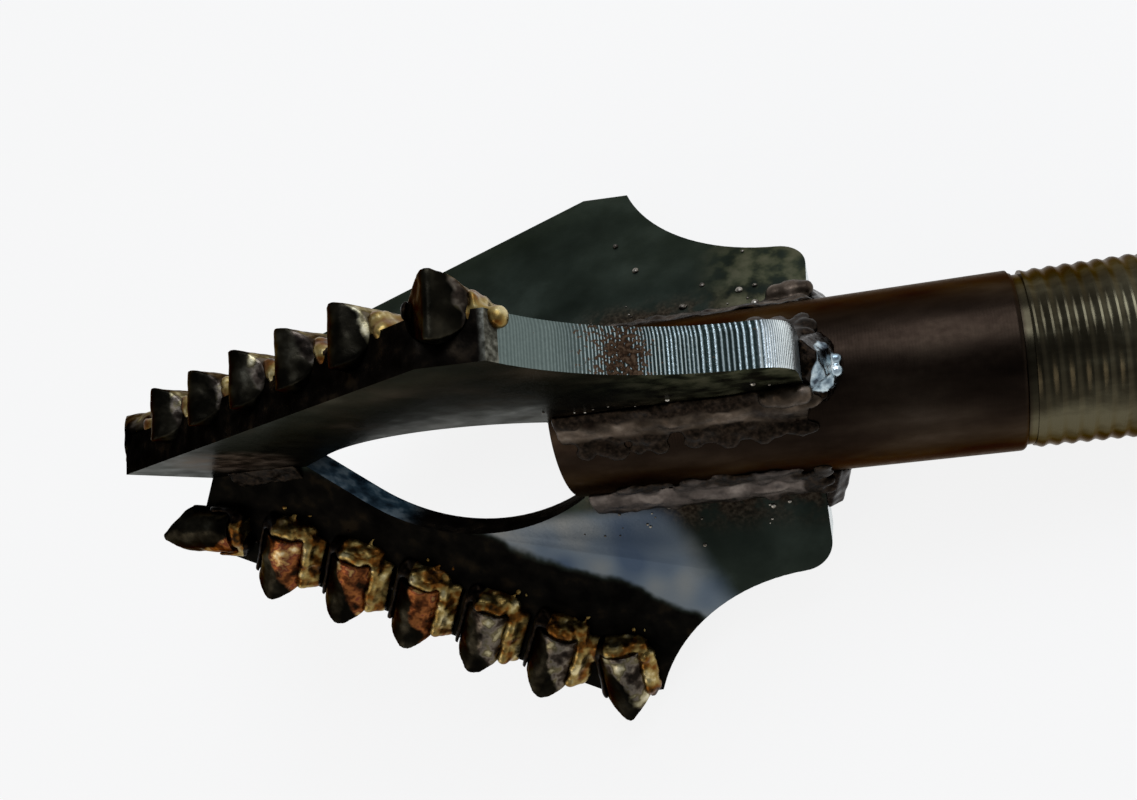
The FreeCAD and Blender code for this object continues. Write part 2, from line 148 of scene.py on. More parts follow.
print("gauge corner", [round(value / MM, 1) for value in GAUGE_CORNER], "mm")
print("slope", round(math.degrees(SLOPE_ANGLE), 2), "degrees")

# %% [markdown]
# ## The camera
# The camera stands where the photograph was taken from, worked out from the edges of the tube and the
# plates: close above the bit, looking steeply down on to it. The lens is a wide one, and a small shift
# keeps the bit as high in the picture as it was.

# %% Camera
CAMERA_PLACE = Vector((33.8, 64.9, 302.8)) * MM
CAMERA_LOOKS = Vector((0.264, -0.133, -0.955))
CAMERA_UP = Vector((-0.103, -0.989, 0.109))
FOCAL_LENGTH = 32.98
SHIFT_X = -0.042
SHIFT_Y = 0.075

turn = BIT.to_3x3()
looks = (turn @ CAMERA_LOOKS).normalized()
right = looks.cross(turn @ CAMERA_UP).normalized()
upward = right.cross(looks)
camera_data = bpy.data.cameras.new("camera")
camera_data.lens = FOCAL_LENGTH
camera_data.sensor_width = 36
camera_data.shift_x = SHIFT_X
camera_data.shift_y = SHIFT_Y
camera_data.clip_start = 0.01
camera = bpy.data.objects.new("camera", camera_data)
bpy.context.scene.collection.objects.link(camera)
camera_axes = Matrix((right, upward, -looks)).transposed().to_4x4()
camera.matrix_world = Matrix.Translation(BIT @ CAMERA_PLACE) @ camera_axes
bpy.context.scene.camera = camera
bpy.context.scene.view_settings.view_transform = "Standard"
print("camera at", [round(value, 3) for value in camera.matrix_world.translation])

# %% [markdown]
# ## Small helpers for materials
# Colours are written as they are picked from a picture, in hex, and one function turns them to the linear
# values that the renderer works in. A second one adds a node to a material with its settings and links,
# and a third ends a metal's finish, so that each finish reads as a short list. Kinds of node and settings
# that come up often have short names.

# %% Colour and node helpers
def hex_colour(code):
    """A linear RGBA colour from an sRGB hex code."""
    channels = [int(code[start:start + 2], 16) / 255 for start in (1, 3, 5)]
    linear = [c / 12.92 if c <= 0.04045 else ((c + 0.055) / 1.055) ** 2.4 for c in channels]
    return (*linear, 1.0)


def set_inputs(tree, node, inputs):
    """Sets a node's inputs, by name or in their order, or links them where a value comes from a node."""
    for name, value in inputs.items() if isinstance(inputs, dict) else enumerate(inputs):
        if isinstance(value, bpy.types.NodeSocket):
            tree.links.new(value, node.inputs[name])
        else:
            node.inputs[name].default_value = value


def add_node(tree, kind, inputs, output=0, stops=(), **settings):
    """A node with its settings, inputs given or linked and, on a ramp, (place, hex) stops: one output."""
    node = tree.nodes.new("ShaderNode" + kind)
    for name, value in settings.items():
        setattr(node, name, value)
    set_inputs(tree, node, inputs)
    for number, (place, code) in enumerate(stops):
        if number >= len(node.color_ramp.elements):
            node.color_ramp.elements.new(place)
        node.color_ramp.elements[number].position = place
        node.color_ramp.elements[number].color = hex_colour(code)
    return node.outputs[output]


def as_metal(material, colour, roughness, relief, rim_light="#FFFFFF"):
    """Ends a metal's finish. The relief is a height, how strongly it shows, and its depth in mm."""
    tree = material.node_tree
    height, strength, depth = relief
    bump = add_node(tree, "Bump", {"Height": height, "Strength": strength, "Distance": depth * MM})
    tint = hex_colour(rim_light) if isinstance(rim_light, str) else rim_light
    inputs = {"Base Color": colour, "Roughness": roughness, "Specular Tint": tint, "Normal": bump}
    set_inputs(tree, tree.nodes["Principled BSDF"], {"Metallic": 1.0, **inputs})
    return material


def new_metal(name):
    """What adds a node to a new material, and what ends it as a metal."""
    material = bpy.data.materials.new(name)
    material.use_nodes = True
    return partial(add_node, material.node_tree), partial(as_metal, material)


def blotches(vector, width, detail):
    """What a noise takes to give blotches about this many millimetres wide."""
    return {"Vector": vector, "Scale": 1 / (width * MM), "Detail": detail}


print("helpers ready")

# %% Names for nodes and settings
ROOM = ("TexCoord", {}, "Object")
SPLIT = "SeparateXYZ"
NOISE = "TexNoise"
WAVE = "TexWave"
RAMP = "ValToRGB"
RANGE = "MapRange"
MATH = "Math"
MIX = "Mix"
# A Mix node has sockets for numbers, vectors and colours, so the colour ones are found by number. A range
# takes its inputs in order: the value, where it starts and ends, and what it gives at each end.
MIX_A = 6
MIX_B = 7
OVER = {"output": 2, "data_type": "RGBA"}
SOFT = {"interpolation_type": "SMOOTHSTEP"}
TIMES = {"operation": "MULTIPLY"}
TIMES_PLUS = {"operation": "MULTIPLY_ADD"}
print("names ready")

# %% [markdown]
# ## Turned steel of the shank
# The shank is tube turned on a lathe, then browned by oil and by the heat of welding. To the eye it is a
# nearly black, satin metal with a warm brown cast, clouded along its length. The pin is as dark, but its
# thread was rubbed smooth by the box it screws into, so it shines. A lathe leaves about four rings a
# millimetre, too fine to show here, so they are drawn coarser.

# %% Turned steel
RING_PITCH_MM = 0.9
WAVE_TO_METRES = 2 * math.pi / 20


def turned_steel():
    """Dark browned steel with turning rings about the bit's axis, and a smoother pin."""
    add, metal = new_metal("browned_turned_steel")
    to_bit = BIT.inverted()
    turn_in = {"Vector": add(*ROOM), "Location": to_bit.translation, "Rotation": to_bit.to_euler()}
    place = add("Mapping", turn_in)
    along = add(SPLIT, [place], "X")
    drawn_out = add("Mapping", {"Vector": place, "Scale": (0.35, 1, 1)})
    cloud = add(NOISE, blotches(drawn_out, 13, 5.0))
    grain = add(NOISE, blotches(place, 2, 6.0))
    brown_stops = ((0.3, "#150F0B"), (0.47, "#231B15"), (0.6, "#2F261E"), (0.74, "#40362D"))
    brown = add(RAMP, [cloud], stops=brown_stops)
    rubbed = add(RAMP, [cloud], stops=((0.35, "#211D15"), (0.5, "#393427"), (0.65, "#585341")))
    on_pin = add(RANGE, [along, 0.5 * MM, -1.0 * MM])
    satin = add(RANGE, [grain, 0.3, 0.7, 0.3, 0.42])
    ring_scale = 1 / (RING_PITCH_MM * MM) * WAVE_TO_METRES
    ring_inputs = {"Vector": place, "Scale": ring_scale, "Distortion": 1.5, "Detail": 2.0}
    turning_rings = add(WAVE, ring_inputs, "Fac", bands_direction="X")
    felt = add(RANGE, [on_pin, 0, 1, 0.12, 0.0])
    colour = add(MIX, {0: on_pin, MIX_A: brown, MIX_B: rubbed}, **OVER)
    gloss = add(MATH, [on_pin, -0.12, satin], **TIMES_PLUS)
    return metal(colour, gloss, (turning_rings, felt, 0.05), "#B9AFA6")


TURNED_STEEL = turned_steel()
print(TURNED_STEEL.name)

# %% [markdown]
# ## Mill scale on the plates
# Hot-rolled plate keeps a skin of dark iron oxide, almost black with a green-grey cast and half glossy.
# On the leading faces the colour also carries painted light: along the inserts painted shade, nearly
# black, up to a line that follows the cutting edge some 43 mm in, and past it a painted pale blue
# reflection. Towards the root the plate kept its own colour, browned by rust, and a painted olive sheen
# lies on the trailing faces at the heel. The trailing face of the first wing is a darker copy of the skin,
# painted shade, with one lighter brown patch near the nose. So the finish reads a map in millimetres,
# along the bit and up the wing, which each wing brings with it.

# %% Mill scale
SHADE_REACH_MM = 43
SHADE_WAVES_MM = 14
REFLECTION_REAR_MM = 105
REFLECTION_LEAN = 0.45
REFLECTION_WAVES_MM = 12
# Where the painted sheen on the trailing faces starts, and over how far it fades in
SHEEN_HEEL_MM = 80
SHEEN_FADE_MM = 14
SHADED_SHEEN_FADE_MM = 32
# Where the lighter brown patch lies on the plate, and from how far away to how near it grows full
NOSE_PATCH = (235, 24, 0)
NOSE_PATCH_FADE_MM = (22, 9)
ROOT_MM = SHANK_RADIUS / MM
GREEN_GREY = ((0.3, "#1B201B"), (0.5, "#262C26"), (0.7, "#353C35"))
# Painted shade: a darker copy of the skin for the first wing's trailing face, which looks away from the
# light
SHADED_SKIN = ((0.3, "#0F0E0C"), (0.48, "#191713"), (0.6, "#241F19"), (0.74, "#3B332A"))


def shade_and_reflection_colours(add, plate, along, up, cloud, smear, colour):
    """Lays painted shade and a painted blue reflection over a leading face's colour: the new colour, and
    where the painted shade lies.
    """
    inward = (-math.sin(SLOPE_ANGLE), -math.cos(SLOPE_ANGLE), 0)
    edge_at = (inward[0] * GAUGE_CORNER.x + inward[1] * GAUGE_CORNER.z) / MM
    past_shade = edge_at + SHADE_REACH_MM + SHADE_WAVES_MM / 2
    run_in = add("VectorMath", [plate, inward], "Value", operation="DOT_PRODUCT")
    wavy = add(MATH, [cloud, SHADE_WAVES_MM, run_in], **TIMES_PLUS)
    blue_patch = add(RANGE, [wavy, past_shade - 1.2, past_shade + 1.2], **SOFT)
    slanted = add(MATH, [up, REFLECTION_LEAN, along], **TIMES_PLUS)
    slanted = add(MATH, [cloud, REFLECTION_WAVES_MM, slanted], **TIMES_PLUS)
    rear_end = REFLECTION_REAR_MM + REFLECTION_LEAN * ROOT_MM + 9
    fading = add(RANGE, [slanted, rear_end - 6, rear_end + 8], **SOFT)
    off_root = add(RANGE, [up, ROOT_MM + 3, ROOT_MM + 9], **SOFT)
    shown = add(MATH, [blue_patch, fading], **TIMES)
    shown = add(MATH, [shown, off_root], **TIMES)
    soft_cloud = add(NOISE, blotches(add(*ROOM), 16, 1.0))
    # Painted reflection: a pale blue lit patch past the line, its rear end slanting
    painted_reflection = add(RAMP, [soft_cloud], stops=((0.3, "#4C596A"), (0.5, "#656F78"), (0.7, "#7C7F7E")))
    # Painted shade: nearly black along the inserts, up to a wavy line some 43 mm in from the cutting edge
    painted_shade = add(RAMP, [smear], stops=((0.35, "#080706"), (0.55, "#12100D"), (0.7, "#221C14")))
    before = add(RANGE, [wavy, past_shade + 1.5, past_shade - 2.5], **SOFT)
    colour = add(MIX, {0: shown, MIX_A: colour, MIX_B: painted_reflection}, **OVER)
    colour = add(MIX, {0: before, MIX_A: colour, MIX_B: painted_shade}, **OVER)
    return colour, before


def mill_scale(name, darkened, skin_stops):
    """Dark oxide skin of hot-rolled plate, on a leading face with painted shade and a painted blue
    reflection.
    """
    add, metal = new_metal(name)
    room = add(*ROOM)
    plate = add("UVMap", {}, uv_map="plate")
    along = add(SPLIT, [plate], "X")
    up = add(SPLIT, [plate], "Y")
    cloud = add(NOISE, blotches(room, 24, 4.0))
    smear = add(NOISE, blotches(room, 7, 5.0))
    speck = add(NOISE, blotches(room, 1.2, 6.0))
    skin = add(RAMP, [cloud], stops=skin_stops)
    rust = add(RAMP, [speck], stops=((0.35, "#1F1610"), (0.5, "#352A20"), (0.68, "#4C4236")))
    near_root = add(RANGE, [up, ROOT_MM + 19, ROOT_MM + 5, 0, 0.9], **SOFT)
    patchy = add(RANGE, [smear, 0.34, 0.56], **SOFT)
    mouth_mm = SHANK_LENGTH / MM
    behind_mouth = add(RANGE, [along, mouth_mm + 4, mouth_mm - 12])
    rusted = add(MATH, [near_root, patchy], **TIMES)
    rusted = add(MATH, [rusted, behind_mouth], **TIMES)
    colour = add(MIX, {0: rusted, MIX_A: skin, MIX_B: rust}, **OVER)
    if skin_stops is SHADED_SKIN:
        away = add("VectorMath", [plate, NOSE_PATCH], "Value", operation="DISTANCE")
        near_nose_patch = add(RANGE, [away, *NOSE_PATCH_FADE_MM], **SOFT)
        nose_patch_colour = add(RAMP, [smear], stops=((0.35, "#33291F"), (0.5, "#5A4A3E"), (0.65, "#7C6C5E")))
        colour = add(MIX, {0: near_nose_patch, MIX_A: colour, MIX_B: nose_patch_colour}, **OVER)
    # The leading face takes painted shade and a painted blue reflection
    if darkened:
        colour, before = shade_and_reflection_colours(add, plate, along, up, cloud, smear, colour)
        gloss = add(RANGE, [before, 0, 1, 0.34, 0.6])
    else:
        # Painted sheen: a lighter olive patch on the trailing faces at the heel, where they catch the light
        fade_from = SHEEN_HEEL_MM + (SHADED_SHEEN_FADE_MM if skin_stops is SHADED_SKIN else SHEEN_FADE_MM)
        at_heel = add(RANGE, [along, fade_from, SHEEN_HEEL_MM - 8, 0, 0.8], **SOFT)
        at_heel = add(MATH, [at_heel, patchy], **TIMES)
        painted_sheen = add(RAMP, [smear], stops=((0.35, "#2A2B20"), (0.5, "#474936"), (0.65, "#5E5C48")))
        colour = add(MIX, {0: at_heel, MIX_A: colour, MIX_B: painted_sheen}, **OVER)
        gloss = add(RANGE, [smear, 0.3, 0.7, 0.3, 0.48])
    return metal(colour, gloss, (speck, 0.25, 0.15), "#BFC1BD")


# The leading faces carry painted shade and a painted blue reflection
LEADING_FACE = mill_scale("mill_scale_with_painted_shade_and_reflection", darkened=True, skin_stops=GREEN_GREY)
TRAILING_FACE = mill_scale("mill_scale_on_hot_rolled_plate", darkened=False, skin_stops=GREEN_GREY)
SHADED_TRAILING_FACE = mill_scale("mill_scale_with_painted_shade", darkened=False, skin_stops=SHADED_SKIN)
print(LEADING_FACE.name, TRAILING_FACE.name, SHADED_TRAILING_FACE.name)

# %% [markdown]
# ## Flame-cut edges
# A cutting torch leaves drag lines square across the plate's thickness, about a millimetre apart. On the
# sweep behind the gauge the scale was knocked off, so the ridges shine and the grooves stay dark. At the
# heel the edge is painted near white as a highlight, a stretch in the middle has rusted, and towards the
# gauge the lines fade out. The rest of the outline is painted black as shade. The lines are real grooves,
# made later in the mesh. The finish reads the same count of lines from the map, so its bright stripes fall
# on the ridges.

# %% Flame-cut edge
HEEL_BLOCK_MM = 63
RUST_REAR_MM = 89
RUST_FRONT_MM = 100
LINE_PHASE = math.pi / 2 - 10
SCORED = ((0.3, "#26312F"), (0.84, "#475553"), (0.97, "#8F9E9D"), (1.0, "#BFCECE"))
DRESSED = ((0.2, "#56625F"), (0.6, "#6B7875"), (1.0, "#8B9896"))
# Painted highlight: near white, for the heel end, which looks away from the light
PAINTED_HEEL_HIGHLIGHT = ((0.15, "#2E3836"), (0.34, "#A9B8BA"), (0.6, "#DCE8EA"), (1.0, "#F4FAFA"))


def flame_cut_edge():
    """Bright ridges and dark grooves across the plate, a painted highlight at the heel and a rusty stretch.
    """
    add, metal = new_metal("flame_cut_steel_edge")
    room = add(*ROOM)
    along = add(SPLIT, [add("UVMap", {}, uv_map="plate")], "X")
    count = add("UVMap", {}, uv_map="drag")
    speck = add(NOISE, blotches(room, 0.9, 4.0))
    cloud = add(NOISE, blotches(room, 6, 4.0))
    line_inputs = {"Vector": count, "Scale": 1.0, "Phase Offset": LINE_PHASE}
    lines = add(WAVE, line_inputs, "Fac", bands_direction="X")
    faint = add(RANGE, [along, RUST_FRONT_MM, RUST_FRONT_MM + 11, 1.0, 0.35])
    lines = add(MATH, [lines, faint], **TIMES)
    worn = add(MATH, [speck, 0.4, lines], **TIMES_PLUS)
    scored, dressed, heel_highlight = [add(RAMP, [worn], stops=stops) for stops in (SCORED, DRESSED, PAINTED_HEEL_HIGHLIGHT)]
    to_gauge = add(RANGE, [along, RUST_FRONT_MM - 2, RUST_FRONT_MM + 9])
    to_heel = add(RANGE, [along, HEEL_BLOCK_MM + 1.5, HEEL_BLOCK_MM - 1.5])
    colour = add(MIX, {0: to_gauge, MIX_A: scored, MIX_B: dressed}, **OVER)
    # The heel end takes the painted highlight
    colour = add(MIX, {0: to_heel, MIX_A: colour, MIX_B: heel_highlight}, **OVER)
    rust = add(RAMP, [speck], stops=((0.36, "#1A120C"), (0.5, "#3A2A1E"), (0.64, "#5A4838")))
    enter = add(RANGE, [along, RUST_REAR_MM - 5, RUST_REAR_MM + 4])
    leave = add(RANGE, [along, RUST_FRONT_MM + 8, RUST_FRONT_MM - 3])
    stretch = add(MATH, [enter, leave], operation="MINIMUM")
    flecks = add(MATH, [cloud, 0.4, speck], **TIMES_PLUS)
    flecks = add(MATH, [stretch, 0.34, flecks], **TIMES_PLUS)
    rusted = add(RANGE, [flecks, 0.93, 1.0], **SOFT)
    colour = add(MIX, {0: rusted, MIX_A: colour, MIX_B: rust}, **OVER)
    return metal(colour, add(RANGE, [rusted, 0, 1, 0.3, 0.65]), (speck, 0.35, 0.2))


CUT_EDGE = flame_cut_edge()
print(CUT_EDGE.name)

# %% Edge with painted shade
TEMPER_ON_ARCH_MM = 206


def shaded_edge():
    """Painted shade, nearly black, on slope, nose and arch, grey-brown on the gauge land, blue on the
    arch's front.
    """
    add, metal = new_metal("flame_cut_edge_with_painted_shade")
    room = add(*ROOM)
    plate = add("UVMap", {}, uv_map="plate")
    along = add(SPLIT, [plate], "X")
    up = add(SPLIT, [plate], "Y")
    smear = add(NOISE, blotches(room, 5, 5.0))
    speck = add(NOISE, blotches(room, 1.5, 6.0))
    # Painted shade: the slope, nose and arch edges look away from the light and are painted nearly black
    painted_shade = add(RAMP, [smear], stops=((0.35, "#090705"), (0.55, "#14110E"), (0.72, "#2B241C")))
    land = add(RAMP, [speck], stops=((0.35, "#3A3932"), (0.5, "#58574E"), (0.68, "#7C7B70")))
    blue_patch = add(RAMP, [smear], stops=((0.35, "#1C262E"), (0.5, "#34444F"), (0.65, "#5E6B73")))
    land_mm = GAUGE_SETBACK / MM
    on_land = add(RANGE, [along, land_mm + 1.8, land_mm - 0.2], **SOFT)
    from_middle = add(MATH, [along, TEMPER_ON_ARCH_MM], operation="SUBTRACT")
    from_middle = add(MATH, [from_middle], operation="ABSOLUTE")
    on_arch = add(RANGE, [from_middle, 22, 8], **SOFT)
    low = add(RANGE, [up, ROOT_MM + 4, ROOT_MM])
    on_arch = add(MATH, [on_arch, low], **TIMES)
    colour = add(MIX, {0: on_land, MIX_A: painted_shade, MIX_B: land}, **OVER)
    colour = add(MIX, {0: on_arch, MIX_A: colour, MIX_B: blue_patch}, **OVER)
    return metal(colour, 0.52, (speck, 0.5, 0.3), "#8E8A84")


SHADED_EDGE = shaded_edge()
print(SHADED_EDGE.name)

# %% [markdown]
# ## Carbide
# Sintered tungsten carbide is dark grey. Here the torch left a brown-black skin of burnt flux on the side
# that looks to the nose, while molten brass crept up the other flank and froze there. It is copper and
# orange near the nose of the wing that was heated longest, and pale everywhere else. The back of an
# insert is sooty from the crest down. Each insert carries its own attribute, in millimetres: how far a
# point lies towards the gauge, how far to the rear and how far below the crest. The smears and the soot
# follow it.

# %% Carbide
FLUX = ((0.35, "#0B0A07"), (0.5, "#15130E"), (0.62, "#28251D"), (0.75, "#47443A"))
COPPER_SMEARS = (
    (0.34, "#1A110B"),
    (0.43, "#4E2A16"),
    (0.5, "#84502A"),
    (0.56, "#5E2E22"),
    (0.63, "#A88450"),
    (0.74, "#D8C8A0"),
)
PALE_SMEARS = (
    (0.34, "#191512"),
    (0.43, "#3B332C"),
    (0.5, "#6A6156"),
    (0.56, "#564E38"),
    (0.63, "#9A9070"),
    (0.74, "#D0C8AC"),
)


def carbide(name, smear_stops):
    """Sintered carbide with burnt flux on one flank and brass smears on the other."""
    add, metal = new_metal(name)
    room = add(*ROOM)
    insert = add("Attribute", {}, "Vector", attribute_name="insert")
    to_gauge, to_rear, below_crest = [add(SPLIT, [insert], axis) for axis in "XYZ"]
    cloud = add(NOISE, blotches(room, 9, 3.0))
    smear = add(NOISE, blotches(room, 6, 3.0))
    speck = add(NOISE, blotches(room, 1.8, 3.0))
    dark = add(RAMP, [cloud], stops=FLUX)
    tinted = add(RAMP, [smear], stops=smear_stops)
    reach = add(MATH, [cloud, 9.0, to_gauge], **TIMES_PLUS)
    reach = add(MATH, [below_crest, 0.45, reach], **TIMES_PLUS)
    reach = add(MATH, [to_rear, -0.35, reach], **TIMES_PLUS)
    smeared = add(RANGE, [reach, 11.0, 12.6], **SOFT)
    behind = add(RANGE, [to_rear, -4, 0])
    low = add(RANGE, [below_crest, 3, 7])
    darkened = add(MATH, [behind, low], **TIMES)
    colour = add(MIX, {0: smeared, MIX_A: dark, MIX_B: tinted}, **OVER)
    rim_light = {0: darkened, MIX_A: hex_colour("#BAB0A4"), MIX_B: hex_colour("#4A443E")}
    colour = add(MIX, {0: darkened, MIX_A: colour, MIX_B: hex_colour("#070604")}, **OVER)
    gloss = add(RANGE, [speck, 0.3, 0.7, 0.24, 0.46])
    return metal(colour, gloss, (speck, 0.3, 0.25), add(MIX, rim_light, **OVER))


COPPER_CARBIDE = carbide("carbide_with_copper_smears", COPPER_SMEARS)
PALE_CARBIDE = carbide("carbide_with_pale_smears", PALE_SMEARS)
print(COPPER_CARBIDE.name, PALE_CARBIDE.name)

# %% [markdown]
# ## Braze and weld metal
# The brass between carbide and steel flowed as a liquid, so it is glossy and rounded, gold where it is
# clean and orange to brown where the flame burnt it. Weld metal is rippled steel: the long root beads are
# brown with soot and rust, and the lump at the first wing's heel, laid last, kept its silver-blue skin.
# Spatter is the same metal, thrown off in drops that froze where they fell.

# %% Flowed metals
# Also the painted shade of the heel lumps
BURNT_AND_SHADE = ((0.35, "#0B0806"), (0.55, "#17110C"), (0.7, "#2C2117"))
BROWNED = ((0.35, "#14100C"), (0.52, "#221B15"), (0.7, "#362C23"))
GOLD = (
    (0.3, "#2A1D10"),
    (0.42, "#6E4418"),
    (0.48, "#7A6032"),
    (0.58, "#97814C"),
    (0.7, "#CDBE90"),
    (0.8, "#80501E"),
)
SOOTY_STEEL = ((0.32, "#1F1813"), (0.48, "#3C332A"), (0.6, "#594D42"), (0.74, "#82766A"))
DUSTY_STEEL = ((0.35, "#3A3430"), (0.5, "#5C534D"), (0.65, "#827870"), (0.75, "#9E948B"))
SILVER_BLUE = ((0.34, "#3A424C"), (0.44, "#8496A0"), (0.55, "#C2D2D8"), (0.7, "#EAF2F4"))
DROP_GREY = ((0.35, "#2A2520"), (0.5, "#6B645A"), (0.65, "#B8B2A6"))


def flowed_metal(name, blotch, stops, gloss, dents, burnt_and_shade_stops=BURNT_AND_SHADE):
    """Metal that froze from a melt: blotches and dents of this size in mm, black where it was burnt, and on
    the heel lumps where shade is painted.
    """
    add, metal = new_metal(name)
    room = add(*ROOM)
    cloud = add(NOISE, blotches(room, blotch, 4.0))
    speck = add(NOISE, blotches(room, 1.3, 5.0))
    clean = add(RAMP, [cloud], stops=stops)
    black = add(RAMP, [speck], stops=burnt_and_shade_stops)
    burnt_and_shade = add("Attribute", {}, "Fac", attribute_name="burnt_and_shade")
    ragged = add(MATH, [cloud, 1.6, burnt_and_shade], **TIMES_PLUS)
    share = add(RANGE, [ragged, 1.15, 1.45], **SOFT)
    colour = add(MIX, {0: share, MIX_A: clean, MIX_B: black}, **OVER)
    return metal(colour, add(RANGE, [speck, 0.35, 0.65, *gloss]), (speck, 0.4, dents))


BRAZE = flowed_metal("flowed_braze_brass", 5, GOLD, (0.28, 0.46), 0.06)
ROOT_WELD = flowed_metal("sooty_weld_metal", 8, SOOTY_STEEL, (0.34, 0.55), 0.15, BROWNED)
DUSTY_WELD = flowed_metal("dusty_weld_metal", 9, DUSTY_STEEL, (0.4, 0.6), 0.12, BROWNED)
HEEL_WELD = flowed_metal("bright_weld_metal", 4, SILVER_BLUE, (0.16, 0.4), 0.2)
SPATTER_METAL = flowed_metal("weld_spatter", 3, DROP_GREY, (0.2, 0.45), 0.1)
print(BRAZE.name, ROOT_WELD.name, DUSTY_WELD.name, HEEL_WELD.name, SPATTER_METAL.name)

# %% [markdown]
# ## Modelling helpers
# Every new piece is made with Blender's own operators on a primitive. These few functions select by
# place, enter and leave edit mode and apply a modifier, and the last one finishes a piece: its place goes
# into its mesh, it rides on the part, and it takes its material.

# %% Modelling helpers
def edit_mode(on):
    """Enters edit mode with everything selected, or leaves it."""
    bpy.ops.object.mode_set(mode="EDIT" if on else "OBJECT")
    if on:
        bpy.ops.mesh.select_all(action="SELECT")


def deselect_all():
    """Nothing selected and nothing in edit mode."""
    if bpy.context.object and bpy.context.object.mode != "OBJECT":
        edit_mode(False)
    bpy.ops.object.select_all(action="DESELECT")


def make_active(obj):
    """Only this object selected, and active."""
    deselect_all()
    obj.select_set(True)
    bpy.context.view_layer.objects.active = obj


def join(obj, others):
    """Joins other objects into this one."""
    make_active(obj)
    for other in others:
        other.select_set(True)
    bpy.ops.object.join()


def apply_modifier(obj, kind, **settings):
    """Adds a modifier with its settings and applies it."""
    make_active(obj)
    modifier = obj.modifiers.new(kind.lower(), kind)
    for name, value in settings.items():
        setattr(modifier, name, value)
    bpy.ops.object.modifier_apply(modifier=modifier.name)


def select_where(obj, kind, wanted):
    """In edit mode, selects the faces or the edges for which wanted(it) holds."""
    bpy.ops.mesh.select_all(action="DESELECT")
    bpy.ops.mesh.select_mode(type=kind)
    mesh = bmesh.from_edit_mesh(obj.data)
    for element in mesh.faces if kind == "FACE" else mesh.edges:
        element.select_set(wanted(element))
    bmesh.update_edit_mesh(obj.data)


def settle(obj, name, place, materials, smooth=30):
    """Puts the place into the mesh, and has the finished piece ride on the part."""
    deselect_all()
    obj.name = name
    obj.data.name = name
    obj.data.transform(place @ obj.matrix_world)
    obj.matrix_world = Matrix.Identity(4)
    obj.data.materials.clear()
    for material in materials:
        obj.data.materials.append(material)
    make_active(obj)
    bpy.ops.object.shade_smooth_by_angle(angle=math.radians(smooth))
    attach(obj, "root")
    return obj


def copy_of_node(name, copy_name, own_frame):
    """A copy of a CAD node's mesh, its loose triangles merged, brought into the given frame."""
    mesh = nodes[name].data.copy()
    mesh.transform(own_frame.inverted())
    obj = bpy.data.objects.new(copy_name, mesh)
    bpy.context.scene.collection.objects.link(obj)
    make_active(obj)
    edit_mode(True)
    bpy.ops.mesh.remove_doubles(threshold=0.002 * MM)
    bpy.ops.mesh.customdata_custom_splitnormals_clear()
    edit_mode(False)
    return obj


print("modelling helpers ready")

# %% [markdown]
# ## The shank and its thread
# The tube is modelled as it is turned: a cylinder, whose rear face is stepped in and out along the pin
# and then bored through. The thread is a rope thread, a shallow rounded wave, and it is cut as on the
# lathe, with a tool shape that a Screw modifier carries round the pin and a Boolean takes away. A screw
# surface joined to the tube would need its ends patched by hand, while a cut runs out by itself at both
# ends.

# %% Shank
BORE_RADIUS = bore["dims"]["r_mm"] * MM
PIN_RADIUS = pin["dims"]["r_mm"] * MM
PIN_END = bore["dims"]["length_mm"] * MM - SHANK_LENGTH
RELIEF_LENGTH = 2.2 * MM
LEAD_LENGTH = 3.0 * MM
LEAD_DEPTH = 1.9 * MM
RIM_BREAK = 0.5 * MM
BORE_MOUTH = 1 * MM
LATHE_STEPS = 192
TOUCH = 0.1 * MM

deselect_all()
stock = {"radius": SHANK_RADIUS, "depth": SHANK_LENGTH, "location": (0, 0, SHANK_LENGTH / 2)}
bpy.ops.mesh.primitive_cylinder_add(vertices=LATHE_STEPS, **stock)
shank = bpy.context.object
bpy.ops.object.transform_apply(location=True)
edit_mode(True)
select_where(shank, "EDGE", lambda edge: max(vertex.co.z for vertex in edge.verts) < TOUCH)
bpy.ops.mesh.bevel(offset=SHOULDER_CHAMFER, segments=5, profile=0.5)
select_where(shank, "EDGE", lambda edge: min(vertex.co.z for vertex in edge.verts) > SHANK_LENGTH - TOUCH)
bpy.ops.mesh.bevel(offset=RIM_BREAK, segments=2, profile=0.5)


def step_cap(radius, new_radius, depth):
    """Carries the selected cap on along the axis and to a new radius."""
    bpy.ops.mesh.extrude_region_move(TRANSFORM_OT_translate={"value": (0, 0, depth)})
    ratio = new_radius / radius
    bpy.ops.transform.resize(value=(ratio, ratio, 1), center_override=(0, 0, 0))


def is_cap(face, end, way):
    """Whether a face closes the tube at this height and looks this way along the axis."""
    return face.normal.z * way > 0.99 and abs(face.calc_center_median().z - end) < TOUCH


select_where(shank, "FACE", lambda face: is_cap(face, 0, -1))
root_radius = SHANK_RADIUS - SHOULDER_CHAMFER
lead_radius = PIN_RADIUS - LEAD_DEPTH
step_cap(root_radius, root_radius, -RELIEF_LENGTH)
step_cap(root_radius, PIN_RADIUS, 0)
step_cap(PIN_RADIUS, PIN_RADIUS, RELIEF_LENGTH + LEAD_LENGTH - PIN_END)
step_cap(PIN_RADIUS, lead_radius, -LEAD_LENGTH)
step_cap(lead_radius, BORE_RADIUS + BORE_MOUTH, 0)
step_cap(BORE_RADIUS + BORE_MOUTH, BORE_RADIUS, BORE_MOUTH)
step_cap(BORE_RADIUS, BORE_RADIUS, PIN_END + SHANK_LENGTH - BORE_MOUTH - RIM_BREAK)
bpy.ops.mesh.delete(type="FACE")
select_where(shank, "FACE", lambda face: is_cap(face, SHANK_LENGTH, 1))
step_cap(SHANK_RADIUS - RIM_BREAK, BORE_RADIUS + RIM_BREAK, 0)
